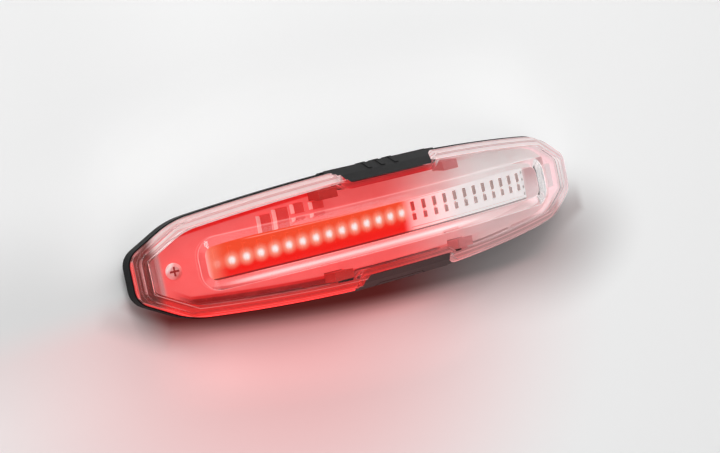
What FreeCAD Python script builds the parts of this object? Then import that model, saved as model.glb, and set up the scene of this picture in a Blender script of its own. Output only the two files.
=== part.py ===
"""Rechargeable tail light with an arched clear front, a LED strip and two rubber pads.

Frame: X runs along the light, Y across it towards the charging port, Z out of the lens.
The origin is the middle of the plane on which the bracket rails of the back rest.
"""
import FreeCAD, Part
import math
import os
import re
import Sketcher

from FreeCAD import Rotation, Vector

os.makedirs("parts", exist_ok=True)
doc = FreeCAD.newDocument("TailLight")

# Driving dimensions, in millimetres and degrees: alias, value, meaning.
SIZES = [
    ("half_length", 55.0, "middle to the end facet of the front rim"),
    ("half_width", 11.63, "middle to the crown of the front rim's long side"),
    ("side_radius", 412.0, "plan radius of the long sides"),
    ("end_flat_half", 2.27, "half of the straight run of an end facet"),
    ("end_corner_radius", 3.0, "plan radius beside an end facet"),
    ("facet_angle", 30.5, "slant of the corner facets to the length"),
    ("facet_corner_radius", 14.0, "plan radius between a corner facet and a long side"),
    ("rim_level", 18.9, "height of the front rim at the middle"),
    ("end_drop", 9.56, "fall of the rim from the middle to the end facet"),
    ("arch_radius", "=(half_length^2 + end_drop^2) / (2*end_drop)", "arch of the front rim along the length"),
    ("tool_reach", 60.0, "width of the tools that cut to an arch"),
    ("cut_height", 30.0, "height of the upright tools"),
    ("parting_drop", 3.2, "front rim down to the joint with the housing"),
    ("flange_step", 0.75, "flange of the cover beyond the rim"),
    ("flange_thickness", 1.0, "thickness of that flange"),
    ("mid_step", 0.35, "middle step of the cover's side beyond the rim"),
    ("mid_drop", 1.1, "rim down to the middle step"),
    ("cover_wall", 1.7, "side wall of the cover"),
    ("roof_drop", 0.7, "rim level down to the underside of the cover's roof"),
    ("crown_rise", 1.3, "crown of the cover above the rim at the middle"),
    ("crown_drop", 10.64, "fall of the crown over the same length"),
    ("crown_arch", "=(half_length^2 + crown_drop^2) / (2*crown_drop)", "arch of the crown along the length"),
    ("crown_across", 72.0, "arch of the crown across the width"),
    ("rim_land", 1.2, "flat rim around the crown"),
    ("window_margin", 10.1, "end facet of the rim in to the window's mouth"),
    ("window_half_length", "=half_length - window_margin", "window recess, mouth"),
    ("window_half_width", 5.3, "window recess, mouth"),
    ("window_corner", 3.8, "corner radius of the window's mouth"),
    ("window_depth", 1.05, "depth of the window recess"),
    ("window_slope", 1.9, "width of the window's sloping sides"),
    ("window_lip", 0.05, "share of the window's depth with upright sides"),
    ("notch_half_length", 10.6, "pad notch at its floor"),
    ("notch_flare", 1.8, "pad notch widens by this much each side at its mouth"),
    ("notch_corner", 1.2, "inner corners of the notch"),
    ("notch_floor", 9.5, "middle of the light to the notch floor"),
    ("notch_mouth", 11.4, "where the flare of the notch is measured"),
    ("notch_reach", 16.0, "outer end of the notch tool"),
    ("notch_slope", "=notch_flare / (notch_mouth - notch_floor)", "slant of the notch's ends"),
    ("notch_wall", 1.3, "wall behind the pad notch"),
    ("seal_inset", 0.3, "rim line in to the outer side of the seal"),
    ("seal_width", 0.7, "width of the seal"),
    ("seal_thickness", 0.6, "thickness of the seal"),
    ("seal_clearance", 0.05, "seal to the sides of its groove"),
    ("face_gap", 0.02, "gap between curved faces that seat on each other"),
    ("back_level", 2.8, "back face of the housing above the rail feet"),
    ("lip_step", 1.0, "housing lip beyond the rim line"),
    ("lip_height", 2.6, "height of the housing lip below the joint"),
    ("body_inset", 0.35, "rim line in to the edge of the back face"),
    ("body_draft", 3.0, "draft angle of the housing body"),
    ("housing_inset", 1.9, "rim line in to the inner face of the housing"),
    ("floor_thickness", 1.4, "floor of the housing"),
    ("pocket_gap", 0.3, "pockets of the housing to the sides of the pads"),
    ("tail_floor", 11.1, "middle of the light to the floor of the tail pocket"),
    ("port_height", 11.6, "height of the charging port's centre"),
    ("port_hole_width", 8.6, "hole in the housing for the charging plug"),
    ("port_hole_height", 3.4, "hole in the housing for the charging plug"),
    ("stem_height", 11.4, "height of the button stem"),
    ("stem_hole_width", 5.0, "hole in the housing for the button stem"),
    ("stem_hole_height", 2.4, "hole in the housing for the button stem"),
    ("board_drop", 4.6, "rim level down to the face of the LED board"),
    ("board_thickness", 0.8, "both circuit boards"),
    ("board_inset", 2.3, "rim line in to the edge of the LED board"),
    ("board_margin", 4.7, "end facet of the rim in to the end of the LED board"),
    ("board_half_length", "=half_length - board_margin", "middle to the end of the LED board"),
    ("board_clearance", 0.3, "LED board to the walls of the pad notches"),
    ("screw_margin", 2.8, "end of the LED board in to the board screw"),
    ("screw_place", "=board_half_length - screw_margin", "middle to the board screw"),
    ("screw_head_radius", 1.6, "head of the board screw"),
    ("screw_head_height", 1.2, "head of the board screw"),
    ("screw_shank_radius", 0.95, "shank of the board screw"),
    ("screw_length", 3.4, "shank length below the head"),
    ("screw_tip_gap", 0.1, "tip of the screw to the bottom of its hole"),
    ("screw_hole_radius", 1.15, "hole in the LED board for the screw"),
    ("screw_boss_radius", 2.4, "boss under the board screw"),
    ("recess_length", 1.9, "cross recess of the screw"),
    ("recess_width", 0.42, "cross recess of the screw"),
    ("recess_depth", 0.7, "cross recess of the screw"),
    ("hook_width", 5.0, "hook that holds the far end of the LED board"),
    ("hook_thickness", 1.1, "hook at the far end of the LED board"),
    ("hook_overlap", 0.9, "nose of the hook over the board"),
    ("hook_gap", 0.15, "hook to the board"),
    ("rib_margin", 16.3, "end of the LED board in to the rib under it"),
    ("rib_place", "=board_half_length - rib_margin", "middle to the ribs under the LED board"),
    ("rib_thickness", 1.2, "ribs under the LED board"),
    ("rib_half_width", 8.6, "ribs under the LED board"),
    ("post_start", 13.6, "cover posts, end towards the middle"),
    ("post_length", 4.2, "cover posts along the light"),
    ("post_inner", 7.3, "cover posts, side towards the middle"),
    ("post_outer", 9.2, "cover posts, outer side"),
    ("post_gap", 0.25, "top of the cover posts to the roof"),
    ("post_clearance", 0.2, "cover posts to the LED board"),
    ("post_room", 5.0, "cut-outs of the LED board for the posts, across the board"),
    ("strip_margin", 9.0, "end of the LED board in to the end of the strip"),
    ("strip_half_length", "=board_half_length - strip_margin", "LED strip"),
    ("strip_half_width", 3.56, "LED strip"),
    ("strip_corner", 0.5, "corner radius of the LED strip"),
    ("strip_thickness", 0.6, "LED strip"),
    ("column_margin", 0.66, "end of the strip in to half a pitch beyond the last LED column"),
    ("columns", 27, "LED columns of the strip"),
    ("lit_columns", 15, "LED columns with red LEDs, from the left"),
    ("chip_pitch", "=2*(strip_half_length - column_margin)/columns", "LED column to LED column"),
    ("chip_shift", -0.25, "middle of the light to the middle LED column"),
    ("chip_length", 0.78, "LED and resistor along the strip"),
    ("chip_width", 1.8, "LED across the strip"),
    ("chip_height", 0.3, "LED and resistor"),
    ("chip_place", 1.5, "middle of the strip to the middle of a LED"),
    ("resistor_width", 1.3, "strip resistor across the strip"),
    ("resistor_place", -0.7, "middle of the strip to the middle of a resistor"),
    ("main_board_top", 10.3, "height of the main board's upper face"),
    ("main_board_half_length", 27.0, "main board"),
    ("main_board_gap", 0.3, "main board and battery to the cover posts"),
    ("main_board_half_width", "=post_inner - main_board_gap", "main board"),
    ("standoff_place", 24.6, "middle to the standoffs of the main board"),
    ("standoff_side", 5.6, "middle line to the standoffs"),
    ("standoff_half", 1.4, "half of the side of a standoff"),
    ("peg_radius", 0.65, "peg on each standoff"),
    ("peg_clearance", 0.1, "peg to its hole in the main board"),
    ("peg_height", 0.6, "peg above the main board"),
    ("cell_length", 40.0, "battery pouch"),
    ("cell_width", "=2*main_board_half_width", "battery pouch"),
    ("cell_height", 4.2, "battery pouch"),
    ("cell_rounding", 1.2, "rounded long edges of the battery pouch"),
    ("foam_thickness", 0.5, "foam pad under the battery"),
    ("foam_inset", 2.0, "battery outline in to the foam pad"),
    ("bay_wall", 1.0, "low walls around the battery"),
    ("bay_gap", 0.3, "battery to the low walls"),
    ("bay_height", 2.6, "low walls around the battery"),
    ("bay_side_place", 3.0, "end of the battery in to the middle of a side wall"),
    ("bay_side_length", 4.0, "side walls of the battery bay"),
    ("tab_side", 3.2, "middle line to each tab of the battery"),
    ("tab_width", 2.4, "metal tabs of the battery"),
    ("tab_thickness", 0.15, "metal tabs of the battery"),
    ("tab_reach", 1.7, "battery end to the outer face of an upright tab"),
    ("tab_level", 7.2, "height at which a tab leaves the battery"),
    ("tab_top", 10.6, "height at which a tab is soldered"),
    ("tab_clearance", 0.12, "tabs to their slots in the main board"),
    ("socket_width", 7.5, "charging socket"),
    ("socket_depth", 5.4, "charging socket along the plug"),
    ("socket_height", 2.6, "charging socket"),
    ("socket_wall", 0.25, "sheet metal of the socket"),
    ("socket_front", 8.05, "middle of the light to the mouth of the socket"),
    ("socket_chamfer", 0.7, "slanted lower edges of the socket"),
    ("tongue_width", 4.2, "contact tongue in the socket"),
    ("tongue_height", 0.6, "contact tongue in the socket"),
    ("tongue_recess", 0.6, "socket mouth back to the tip of the tongue"),
    ("pad_gap", 0.15, "rubber pads to the notch"),
    ("pad_half_length", 15.25, "rubber pads with their tails"),
    ("tail_foot_drop", 5.4, "rim level down to the lower edge of a tail's end"),
    ("tail_flat_half_length", 13.2, "middle to the inner end of a tail's level lower edge"),
    ("waist_half_length", 10.8, "rubber pads under their tails"),
    ("outline_reach", 1.0, "side outline of the pads beyond their lower edge"),
    ("waist_drop", 7.2, "rim level down to the narrow part of a pad"),
    ("foot_half_length", 9.9, "rubber pads at their lower edge"),
    ("pad_top", 0.1, "front edge of a pad above the rim level"),
    ("pad_edge", 9.65, "middle of the light to a pad's front edge"),
    ("pad_crease_out", 11.25, "crease between a pad's chamfer and its side face"),
    ("pad_crease_drop", 2.3, "crease below the rim level"),
    ("pad_bulge_out", 12.75, "crown of a pad's side face"),
    ("pad_bulge_drop", 5.0, "crown of a pad's side face below the rim level"),
    ("pad_belly_out", 12.6, "second bend of a pad's side face"),
    ("pad_belly_drop", 7.4, "second bend of a pad's side face below the rim level"),
    ("pad_foot_out", 12.1, "lower edge of a pad's side face"),
    ("tail_inner", 11.25, "inner face of the pad tails"),
    ("tail_top_drop", 3.4, "top of the pad tails below the rim level"),
    ("sweep_angle", 24.0, "turn of the pad section about the arch"),
    ("flap_pivot_x", -14.55, "hinge line of the port cover"),
    ("flap_pivot_y", 11.95, "hinge line of the port cover"),
    ("flap_barrel", 0.68, "rounded end about the hinge line"),
    ("plug_width", 7.8, "rubber plug in the port"),
    ("plug_height", 2.8, "rubber plug in the port"),
    ("plug_tip", 8.3, "middle of the light to the tip of the plug"),
    ("key_half_length", 6.4, "moving key of the button pad"),
    ("key_half_height", 2.2, "moving key of the button pad"),
    ("key_height", 12.5, "height of the key's centre"),
    ("key_corner", 1.6, "corner radius of the key"),
    ("key_gap", 0.2, "key to its frame"),
    ("key_back", 10.35, "middle of the light to the back of the key"),
    ("frame_rim", 1.0, "rubber below the key and its stem"),
    ("stem_foot", "=min(key_height - key_half_height; stem_height - stem_hole_height/2)", "lowest of key and stem"),
    ("pad_foot_drop", "=rim_level - stem_foot + key_gap + frame_rim", "lower edge of a pad below the rim level"),
    ("pocket_foot_gap", 0.4, "lower edge of the pads to the lower end of their pockets"),
    ("pocket_drop", "=pad_foot_drop + pocket_foot_gap", "rim level down to the lower end of the pad pockets"),
    ("stem_clearance", 0.15, "button stem to its hole"),
    ("stem_bite", 0.5, "button stem into the key"),
    ("stem_tip", 8.3, "middle of the light to the tip of the stem"),
    ("switch_front", 7.2, "middle of the light to the face of the switch"),
    ("switch_depth", 3.0, "switch body"),
    ("switch_width", 4.6, "switch body"),
    ("switch_height", 2.1, "switch body"),
    ("plunger_width", 1.8, "plunger of the switch"),
    ("plunger_height", 1.0, "plunger of the switch"),
    ("plunger_clearance", 0.06, "plunger to the bore of the switch"),
    ("plunger_tip", 8.0, "middle of the light to the tip of the plunger"),
    ("plunger_inside", 1.0, "length of the plunger in the switch"),
    ("plunger_room", 0.5, "free bore behind the plunger"),
    ("plate_thickness", 0.2, "metal plate on the switch"),
    ("grip_pitch", 3.4, "grip rib to grip rib on the port cover"),
    ("grip_width", 0.9, "grip rib"),
    ("grip_height", 0.15, "grip rib above the face"),
    ("grip_length", 4.8, "grip rib down the face"),
    ("grip_reach", 1.5, "grip ribs and dots into the rubber"),
    ("rail_half_length", 11.0, "bracket rails on the back"),
    ("rail_outer", 8.6, "middle line to the outer side of a rail"),
    ("rail_wall", 2.2, "upright of a rail"),
    ("rail_lip", 1.2, "lip of a rail over the channel"),
    ("rail_lip_thickness", 1.0, "lip of a rail"),
    ("rail_stop", 1.4, "stop at the far end of the channel"),
    ("latch_length", 3.0, "recess for the latch of a bracket"),
    ("latch_width", 5.0, "recess for the latch of a bracket"),
    ("latch_depth", 0.7, "recess for the latch of a bracket"),
    ("latch_place", -6.5, "recess for the latch of a bracket"),
    ("pin_half", 0.3, "half of the side of a square link pin"),
    ("pin_place", 15.5, "middle to the first link pin"),
    ("pin_side", 5.4, "middle line to the row of link pins"),
    ("pin_depth", 0.5, "link pins into the LED board"),
    ("pin_stub", 0.2, "link pins below the main board"),
    ("pin_pitch", 2.0, "link pin to link pin"),
    ("pin_hole_half", 0.4, "half of the side of the holes for the link pins"),
]

sheet = doc.addObject("Spreadsheet::Sheet", "dims")
for row, (alias, value, meaning) in enumerate(SIZES, start=1):
    sheet.set("A%d" % row, meaning)
    sheet.set("B%d" % row, str(value))
    sheet.setAlias("B%d" % row, alias)
doc.recompute()
ALIASES = {alias for alias, value, meaning in SIZES}
subparts = {}


def size(alias):
    """The number that a cell of the sheet holds."""
    return float(sheet.get(alias))


def formula(text):
    """Turn aliases in a formula into references to the sheet."""
    return re.sub(r"[a-z_]+[a-z]", lambda m: "dims." + m.group() if m.group() in ALIASES else m.group(), str(text))


def number(text):
    """The value of a formula of the sheet's names."""
    value = sheet.evalExpression(formula(text))
    return float(getattr(value, "Value", value))


def bind(item, **formulas):
    """Tie properties of an object to the sheet."""
    for name, text in formulas.items():
        item.setExpression(name, formula(text))
    return item


def place(item, x="0", y="0", z="0"):
    """Tie an object's place to the sheet."""
    for axis, text in zip("xyz", (x, y, z)):
        item.setExpression("Placement.Base." + axis, formula(text))
    return item


def box(name, x, y, z, length, width, height):
    """A block from its lowest corner and its three sizes."""
    item = doc.addObject("Part::Box", name)
    bind(item, Length=length, Width=width, Height=height)
    return place(item, x, y, z)


def slab_box(name, x, y, z, length, width, height):
    """A block centred in X and Y on a point, standing on z."""
    return box(name, "(%s) - (%s)/2" % (x, length), "(%s) - (%s)/2" % (y, width), z, length, width, height)


def rod(name, x, y, z, radius, height):
    """An upright cylinder."""
    item = doc.addObject("Part::Cylinder", name)
    bind(item, Radius=radius, Height=height)
    return place(item, x, y, z)


def cut(name, base, *tools):
    """Take the tools away from the base."""
    for index, tool in enumerate(tools):
        item = doc.addObject("Part::Cut", "%s_%d" % (name, index))
        item.Base = base
        item.Tool = tool
        base = item
    return base


def fuse(name, *shapes):
    """Join shapes into one."""
    item = doc.addObject("Part::MultiFuse", name)
    item.Shapes = list(shapes)
    return item


def common(name, *shapes):
    """What the shapes share."""
    item = doc.addObject("Part::MultiCommon", name)
    item.Shapes = list(shapes)
    return item


def group(name, shapes):
    """Separate solids kept together."""
    item = doc.addObject("Part::Compound", name)
    item.Links = list(shapes)
    return item


def flip_y(name, source):
    """The mirror image across the plane of the length and the height."""
    item = doc.addObject("Part::Mirroring", name)
    item.Source = source
    item.Normal = Vector(0, 1, 0)
    return item


def flip_x(name, source):
    """The mirror image across the plane of the width and the height."""
    item = doc.addObject("Part::Mirroring", name)
    item.Source = source
    item.Normal = Vector(1, 0, 0)
    return item


def finish(node, item):
    """Name the object that is one sub-part of the light."""
    item.Label = node
    subparts[node] = item
    return item


def below_arch(name, level):
    """Everything under the arch that runs a level above the rim's arch."""
    item = doc.addObject("Part::Cylinder", name)
    bind(item, Radius="arch_radius + (%s)" % level, Height="tool_reach")
    item.Placement = FreeCAD.Placement(Vector(), Rotation(Vector(1, 0, 0), 90))
    return place(item, "0", "tool_reach/2", "rim_level - arch_radius")


def arched(name, shape, top, bottom):
    """The part of an upright shape between two levels of the arch."""
    capped = common(name + "_cap", shape, below_arch(name + "_top", top))
    return cut(name, capped, below_arch(name + "_bottom", bottom))


# The plan outline of the front rim: flat ends, slanted facets and long arcs, all tangent.
def outline_points():
    """The quarter outline: tangent points and centres, from the sizes of the sheet."""
    slant = math.radians(size("facet_angle"))
    normal = Vector(math.sin(slant), math.cos(slant), 0)
    along = Vector(-math.cos(slant), math.sin(slant), 0)
    end_radius = size("end_corner_radius")
    facet_radius = size("facet_corner_radius")
    end_top = Vector(size("half_length"), size("end_flat_half"), 0)
    end_centre = end_top - Vector(end_radius, 0, 0)
    facet_start = end_centre + normal * end_radius
    side_centre = Vector(0, size("half_width") - size("side_radius"), 0)
    offset = facet_start - normal * facet_radius - side_centre
    reach = size("side_radius") - facet_radius
    half = offset.dot(along)
    run = -half + math.sqrt(half * half - offset.dot(offset) + reach * reach)
    facet_centre = facet_start - normal * facet_radius + along * run
    facet_end = facet_centre + normal * facet_radius
    outward = (facet_centre - side_centre).normalize()
    side_end = facet_centre + outward * facet_radius
    return end_top, end_centre, facet_start, facet_end, facet_centre, side_end, side_centre


def turned(point, x_sign, y_sign):
    """A quarter's point moved to another quarter."""
    return Vector(point.x * x_sign, point.y * y_sign, 0)


def short_arc(centre, start, stop):
    """The arc of under half a turn, counterclockwise from start to stop."""
    first = math.atan2(start.y - centre.y, start.x - centre.x)
    last = math.atan2(stop.y - centre.y, stop.x - centre.x)
    if last < first:
        last += 2 * math.pi
    circle = Part.Circle(centre, Vector(0, 0, 1), (start - centre).Length)
    return Part.ArcOfCircle(circle, first, last)


def outline_sketch():
    """The outline as one closed sketch, counterclockwise from the right end."""
    quarter = outline_points()
    end_top, end_centre, facet_start, facet_end, facet_centre, side_end, side_centre = quarter
    sketch = doc.addObject("Sketcher::SketchObject", "rim_outline")
    add = sketch.addGeometry
    rule = sketch.addConstraint
    loop = []
    kinds = []

    def keep(shape, kind):
        loop.append(add(shape, False))
        kinds.append(kind)

    def corner(x_sign, y_sign, rising):
        """End corner, facet and side corner of one quarter, in counterclockwise order."""
        spots = [turned(p, x_sign, y_sign) for p in (end_top, facet_start, facet_end, side_end)]
        centres = [turned(end_centre, x_sign, y_sign), turned(facet_centre, x_sign, y_sign)]
        if rising:
            keep(short_arc(centres[0], spots[0], spots[1]), "end")
            keep(Part.LineSegment(spots[1], spots[2]), "facet")
            keep(short_arc(centres[1], spots[2], spots[3]), "corner")
        else:
            keep(short_arc(centres[1], spots[3], spots[2]), "corner")
            keep(Part.LineSegment(spots[2], spots[1]), "facet")
            keep(short_arc(centres[0], spots[1], spots[0]), "end")

    keep(Part.LineSegment(turned(end_top, 1, -1), end_top), "flat")
    corner(1, 1, True)
    keep(short_arc(side_centre, side_end, turned(side_end, -1, 1)), "side")
    corner(-1, 1, False)
    keep(Part.LineSegment(turned(end_top, -1, 1), turned(end_top, -1, -1)), "flat")
    corner(-1, -1, True)
    keep(short_arc(turned(side_centre, 1, -1), turned(side_end, -1, -1), turned(side_end, 1, -1)), "side")
    corner(1, -1, False)

    for first, second in zip(loop, loop[1:] + loop[:1]):
        rule(Sketcher.Constraint("Tangent", first, 2, second, 1))
    named = []

    def sized(constraint, name, text):
        number = rule(constraint)
        sketch.renameConstraint(number, name)
        named.append((name, text))

    for number, (item, kind) in enumerate(zip(loop, kinds)):
        if kind == "end":
            sized(Sketcher.Constraint("Radius", item, size("end_corner_radius")), "end%d" % number,
                  "end_corner_radius")
        if kind == "corner":
            sized(Sketcher.Constraint("Radius", item, size("facet_corner_radius")), "corner%d" % number,
                  "facet_corner_radius")
        if kind == "side":
            centre_y = sketch.Geometry[item].Center.y
            sized(Sketcher.Constraint("Radius", item, size("side_radius")), "side%d" % number, "side_radius")
            rule(Sketcher.Constraint("PointOnObject", item, 3, -2))
            sign = 1 if centre_y > 0 else -1
            sized(Sketcher.Constraint("DistanceY", -1, 1, item, 3, centre_y), "rise%d" % number,
                  "%d * (side_radius - half_width)" % sign)
        if kind == "flat":
            start = sketch.Geometry[item].StartPoint
            stop = sketch.Geometry[item].EndPoint
            x_text = "half_length" if start.x > 0 else "-half_length"
            sized(Sketcher.Constraint("DistanceX", -1, 1, item, 1, start.x), "flatx%d" % number, x_text)
            y_text = "end_flat_half" if start.y > 0 else "-end_flat_half"
            sized(Sketcher.Constraint("DistanceY", -1, 1, item, 1, start.y), "flata%d" % number, y_text)
            y_text = "end_flat_half" if stop.y > 0 else "-end_flat_half"
            sized(Sketcher.Constraint("DistanceY", -1, 1, item, 2, stop.y), "flatb%d" % number, y_text)
    for name, text in named:
        sketch.setExpression("Constraints." + name, formula(text))
    return sketch


rim = outline_sketch()


def polygon(name, corners, turn=None):
    """A closed sketch through corners given as formulas."""
    sketch = doc.addObject("Sketcher::SketchObject", name)
    if turn is not None:
        sketch.Placement = FreeCAD.Placement(Vector(), turn)
    spots = [Vector(number(x), number(y), 0) for x, y in corners]
    for index, spot in enumerate(spots):
        sketch.addGeometry(Part.LineSegment(spot, spots[(index + 1) % len(spots)]), False)
    named = []

    def sized(kind, geometry, value, text):
        label = "c%d" % len(named)
        added = sketch.addConstraint(Sketcher.Constraint(kind, -1, 1, geometry, 1, value))
        sketch.renameConstraint(added, label)
        named.append((label, text))

    for index, spot in enumerate(spots):
        after = (index + 1) % len(spots)
        sketch.addConstraint(Sketcher.Constraint("Coincident", index, 2, after, 1))
        sized("DistanceX", index, spot.x, corners[index][0])
        sized("DistanceY", index, spot.y, corners[index][1])
    for label, text in named:
        sketch.setExpression("Constraints." + label, formula(text))
    return sketch


UPRIGHT = Vector(0, 0, 1)
ACROSS = Vector(0, 1, 0)
ON_SIDE = Rotation(Vector(1, 0, 0), 90)
ON_END = Rotation(Vector(1, 1, 1), 120)


def swept(name, source, offset="0", way=UPRIGHT, length="cut_height", start="0"):
    """A prism on a sketch widened by an offset."""
    if offset != "0":
        wider = doc.addObject("Part::Offset2D", name + "_line")
        wider.Source = source
        wider.Mode = "Pipe"
        wider.Join = "Arc"
        bind(wider, Value=offset)
        source = wider
    item = doc.addObject("Part::Extrusion", name)
    item.Base = source
    item.DirMode = "Custom"
    item.Dir = way
    item.Solid = True
    bind(item, LengthFwd=length)
    if way == UPRIGHT:
        return place(item, "0", "0", start)
    return place(item, "0", start, "0")


def rectangle(name, half_x, half_y, corner, turn=None, centre_y="0"):
    """The core of a rounded rectangle: offset it by the corner radius."""
    right = "(%s) - (%s)" % (half_x, corner)
    up = "(%s) + (%s) - (%s)" % (centre_y, half_y, corner)
    down = "(%s) - (%s) + (%s)" % (centre_y, half_y, corner)
    corners = [("-(%s)" % right, down), (right, down), (right, up), ("-(%s)" % right, up)]
    return polygon(name, corners, turn)


# The two notches for the pads: a core that grows by its corner radius and any clearance.
inset = "notch_corner * sqrt(1 + notch_slope^2)"
near_x = "notch_half_length + notch_slope * notch_corner - " + inset
far_x = "notch_half_length + notch_slope * (notch_reach - notch_floor) - " + inset
notch_core = polygon("notch_core", [
    ("-(%s)" % near_x, "notch_floor + notch_corner"),
    (near_x, "notch_floor + notch_corner"),
    (far_x, "notch_reach"),
    ("-(%s)" % far_x, "notch_reach"),
])


def notch(name, grow="0"):
    """The notch of one side, wider by a clearance."""
    return swept(name, notch_core, "notch_corner + (%s)" % grow)


def both_notches(name, grow="0"):
    """The notches of both sides."""
    first = notch(name + "_port_side", grow)
    return fuse(name, first, flip_y(name + "_button_side", first))


def slab(name, offset, top, bottom):
    """A slab of the rim's outline between two levels of the arch."""
    return arched(name, swept(name + "_prism", rim, offset), top, bottom)


# Clear front cover: rim, two steps, crown, hollow, notches and window recess.
def crown(name, drop):
    """Everything under the domed crown of the cover, lowered by a drop."""
    item = doc.addObject("Part::Torus", name)
    bind(item, Radius1="crown_arch - crown_across", Radius2="crown_across - (%s)" % drop)
    item.Placement = FreeCAD.Placement(Vector(), Rotation(Vector(1, 0, 0), 90))
    return place(item, "0", "0", "rim_level + crown_rise - crown_arch")


notches = both_notches("notches")
notch_walls = both_notches("notch_walls", "notch_wall")
parting = "-parting_drop"
rim_ring = slab("rim_ring", "0", "0", parting)
side_step = slab("side_step", "mid_step", "-mid_drop", parting)
flange = slab("flange", "flange_step", "flange_thickness - parting_drop", parting)
dome_column = swept("dome_column", rim, "-rim_land")
dome = cut("dome", common("dome_cap", dome_column, crown("crown_top", "0")), below_arch("dome_base", "-mid_drop"))
cover_block = fuse("cover_block", rim_ring, side_step, flange, dome)
cover_room = cut("cover_room", common("cover_room_cap", swept("cover_room_column", rim, "-cover_wall"),
                                      below_arch("roof", "-roof_drop")), notch_walls)
mouth_core = rectangle("mouth_core", "window_half_length", "window_half_width", "window_corner")
mouth_column = swept("mouth_column", mouth_core, "window_corner", start="back_level")
window_block = cut("window_block", mouth_column, crown("crown_floor", "window_depth"))
doc.recompute()


def floor_edges(shape):
    """The edges of the window block that lie on its lower face, as numbers."""
    centre_z = size("rim_level") + size("crown_rise") - size("crown_arch")
    ring = size("crown_arch") - size("crown_across")
    tube = size("crown_across") - size("window_depth")
    found = []
    for index, edge in enumerate(shape.Edges, start=1):
        middle = edge.valueAt((edge.FirstParameter + edge.LastParameter) / 2)
        reach = math.hypot(math.hypot(middle.x, middle.z - centre_z) - ring, middle.y)
        if abs(reach - tube) < 1e-3:
            found.append(index)
    return found


window = doc.addObject("Part::Chamfer", "window")
window.Base = window_block
slope_height = size("window_depth") * (1 - size("window_lip"))
window.Edges = [(index, slope_height, size("window_slope")) for index in floor_edges(window_block.Shape)]
front_cover = finish("front_cover", cut("front_cover", cover_block, cover_room, notches, window))

# Black housing: flat back with rails, lip, pad pockets, posts, bosses and ribs.
body = doc.addObject("Part::Extrusion", "housing_body")
body_line = doc.addObject("Part::Offset2D", "body_line")
body_line.Source = rim
body_line.Mode = "Pipe"
body_line.Join = "Arc"
bind(body_line, Value="-body_inset")
body.Base = body_line
body.DirMode = "Custom"
body.Dir = UPRIGHT
body.Solid = True
bind(body, LengthFwd="cut_height/2", TaperAngle="-body_draft")
place(body, "0", "0", "back_level")
lip_foot = "-parting_drop - lip_height"
housing_top = "-parting_drop - face_gap"
lip = slab("lip", "lip_step", housing_top, lip_foot)
trunk = common("trunk", body, below_arch("trunk_top", lip_foot + " + lip_height/2"))
inner_floor = "(back_level + floor_thickness)"
room_column = swept("room_column", rim, "-housing_inset", start=inner_floor)
room = cut("room", room_column, notch_walls)
shell = cut("shell", fuse("shell_block", lip, trunk), room)
pad_side = polygon("pad_side", [
    ("-pad_half_length", "rim_level - tail_foot_drop"),
    ("-tail_flat_half_length", "rim_level - tail_foot_drop"),
    ("-waist_half_length", "rim_level - waist_drop"),
    ("-foot_half_length", "rim_level - pad_foot_drop - outline_reach"),
    ("foot_half_length", "rim_level - pad_foot_drop - outline_reach"),
    ("waist_half_length", "rim_level - waist_drop"),
    ("tail_flat_half_length", "rim_level - tail_foot_drop"),
    ("pad_half_length", "rim_level - tail_foot_drop"),
    ("pad_half_length", "cut_height"),
    ("-pad_half_length", "cut_height"),
], ON_SIDE)
pocket_side = swept("pocket_side", pad_side, "pocket_gap", ACROSS, "notch_reach")
pocket_foot = below_arch("pocket_foot", "-pocket_drop")
deep_pocket = cut("deep_pocket", notch("deep_notch"), pocket_foot)
tail_box = slab_box("tail_box", "0", "(tail_floor + notch_reach)/2", "0", "2*(pad_half_length + pocket_gap)",
                    "notch_reach - tail_floor", "cut_height")
tail_pocket = arched("tail_pocket", tail_box, "0", "-pocket_drop")
pocket = common("pocket", fuse("pocket_block", deep_pocket, tail_pocket), pocket_side)
pockets = fuse("pockets", pocket, flip_y("pocket_mirror", pocket))
wall_start = "notch_floor - 2*notch_wall"
port_hole = slab_box("port_hole", "0", "notch_floor - notch_wall", "port_height - port_hole_height/2",
                     "port_hole_width", "3*notch_wall", "port_hole_height")
stem_hole = slab_box("stem_hole", "0", "notch_wall - notch_floor", "stem_height - stem_hole_height/2",
                     "stem_hole_width", "3*notch_wall", "stem_hole_height")


def seal_ring(name, near, far, top, bottom):
    """The ring between two insets from the rim line and from the notches."""
    rings = []
    for edge, distance in (("outer", near), ("inner", far)):
        column = swept("%s_%s_column" % (name, edge), rim, "-(%s)" % distance)
        rings.append(cut("%s_%s" % (name, edge), column, both_notches("%s_%s_notches" % (name, edge), distance)))
    return arched(name, cut(name + "_ring", *rings), top, bottom)


seal_foot = housing_top + " - seal_thickness"
groove = seal_ring("groove", "seal_inset - seal_clearance", "seal_inset + seal_width + seal_clearance",
                   "0", seal_foot)
cover_seal = finish("cover_seal", seal_ring("cover_seal", "seal_inset", "seal_inset + seal_width",
                                            housing_top, seal_foot))

# Posts beside the notches, as high as the cover's roof.
post = slab_box("post", "post_start + post_length/2", "(post_inner + post_outer)/2", "back_level + floor_thickness/2",
                "post_length", "post_outer - post_inner", "cut_height")
post_cap = common("post_cap", post, below_arch("post_top", "-roof_drop - post_gap"))
post_far = flip_x("post_far", post_cap)
post_pair = fuse("post_pair", post_cap, post_far)
posts = [post_cap, post_far, flip_y("post_low", post_pair)]
room_for_post = slab_box("room_for_post", "post_start + post_length/2", "post_inner - post_clearance + post_room/2",
                         "0", "post_length + 2*post_clearance", "post_room", "cut_height")
room_pair = fuse("room_pair", room_for_post, flip_x("room_far", room_for_post))
room_for_posts = fuse("room_for_posts", room_pair, flip_y("room_low", room_pair))

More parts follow.
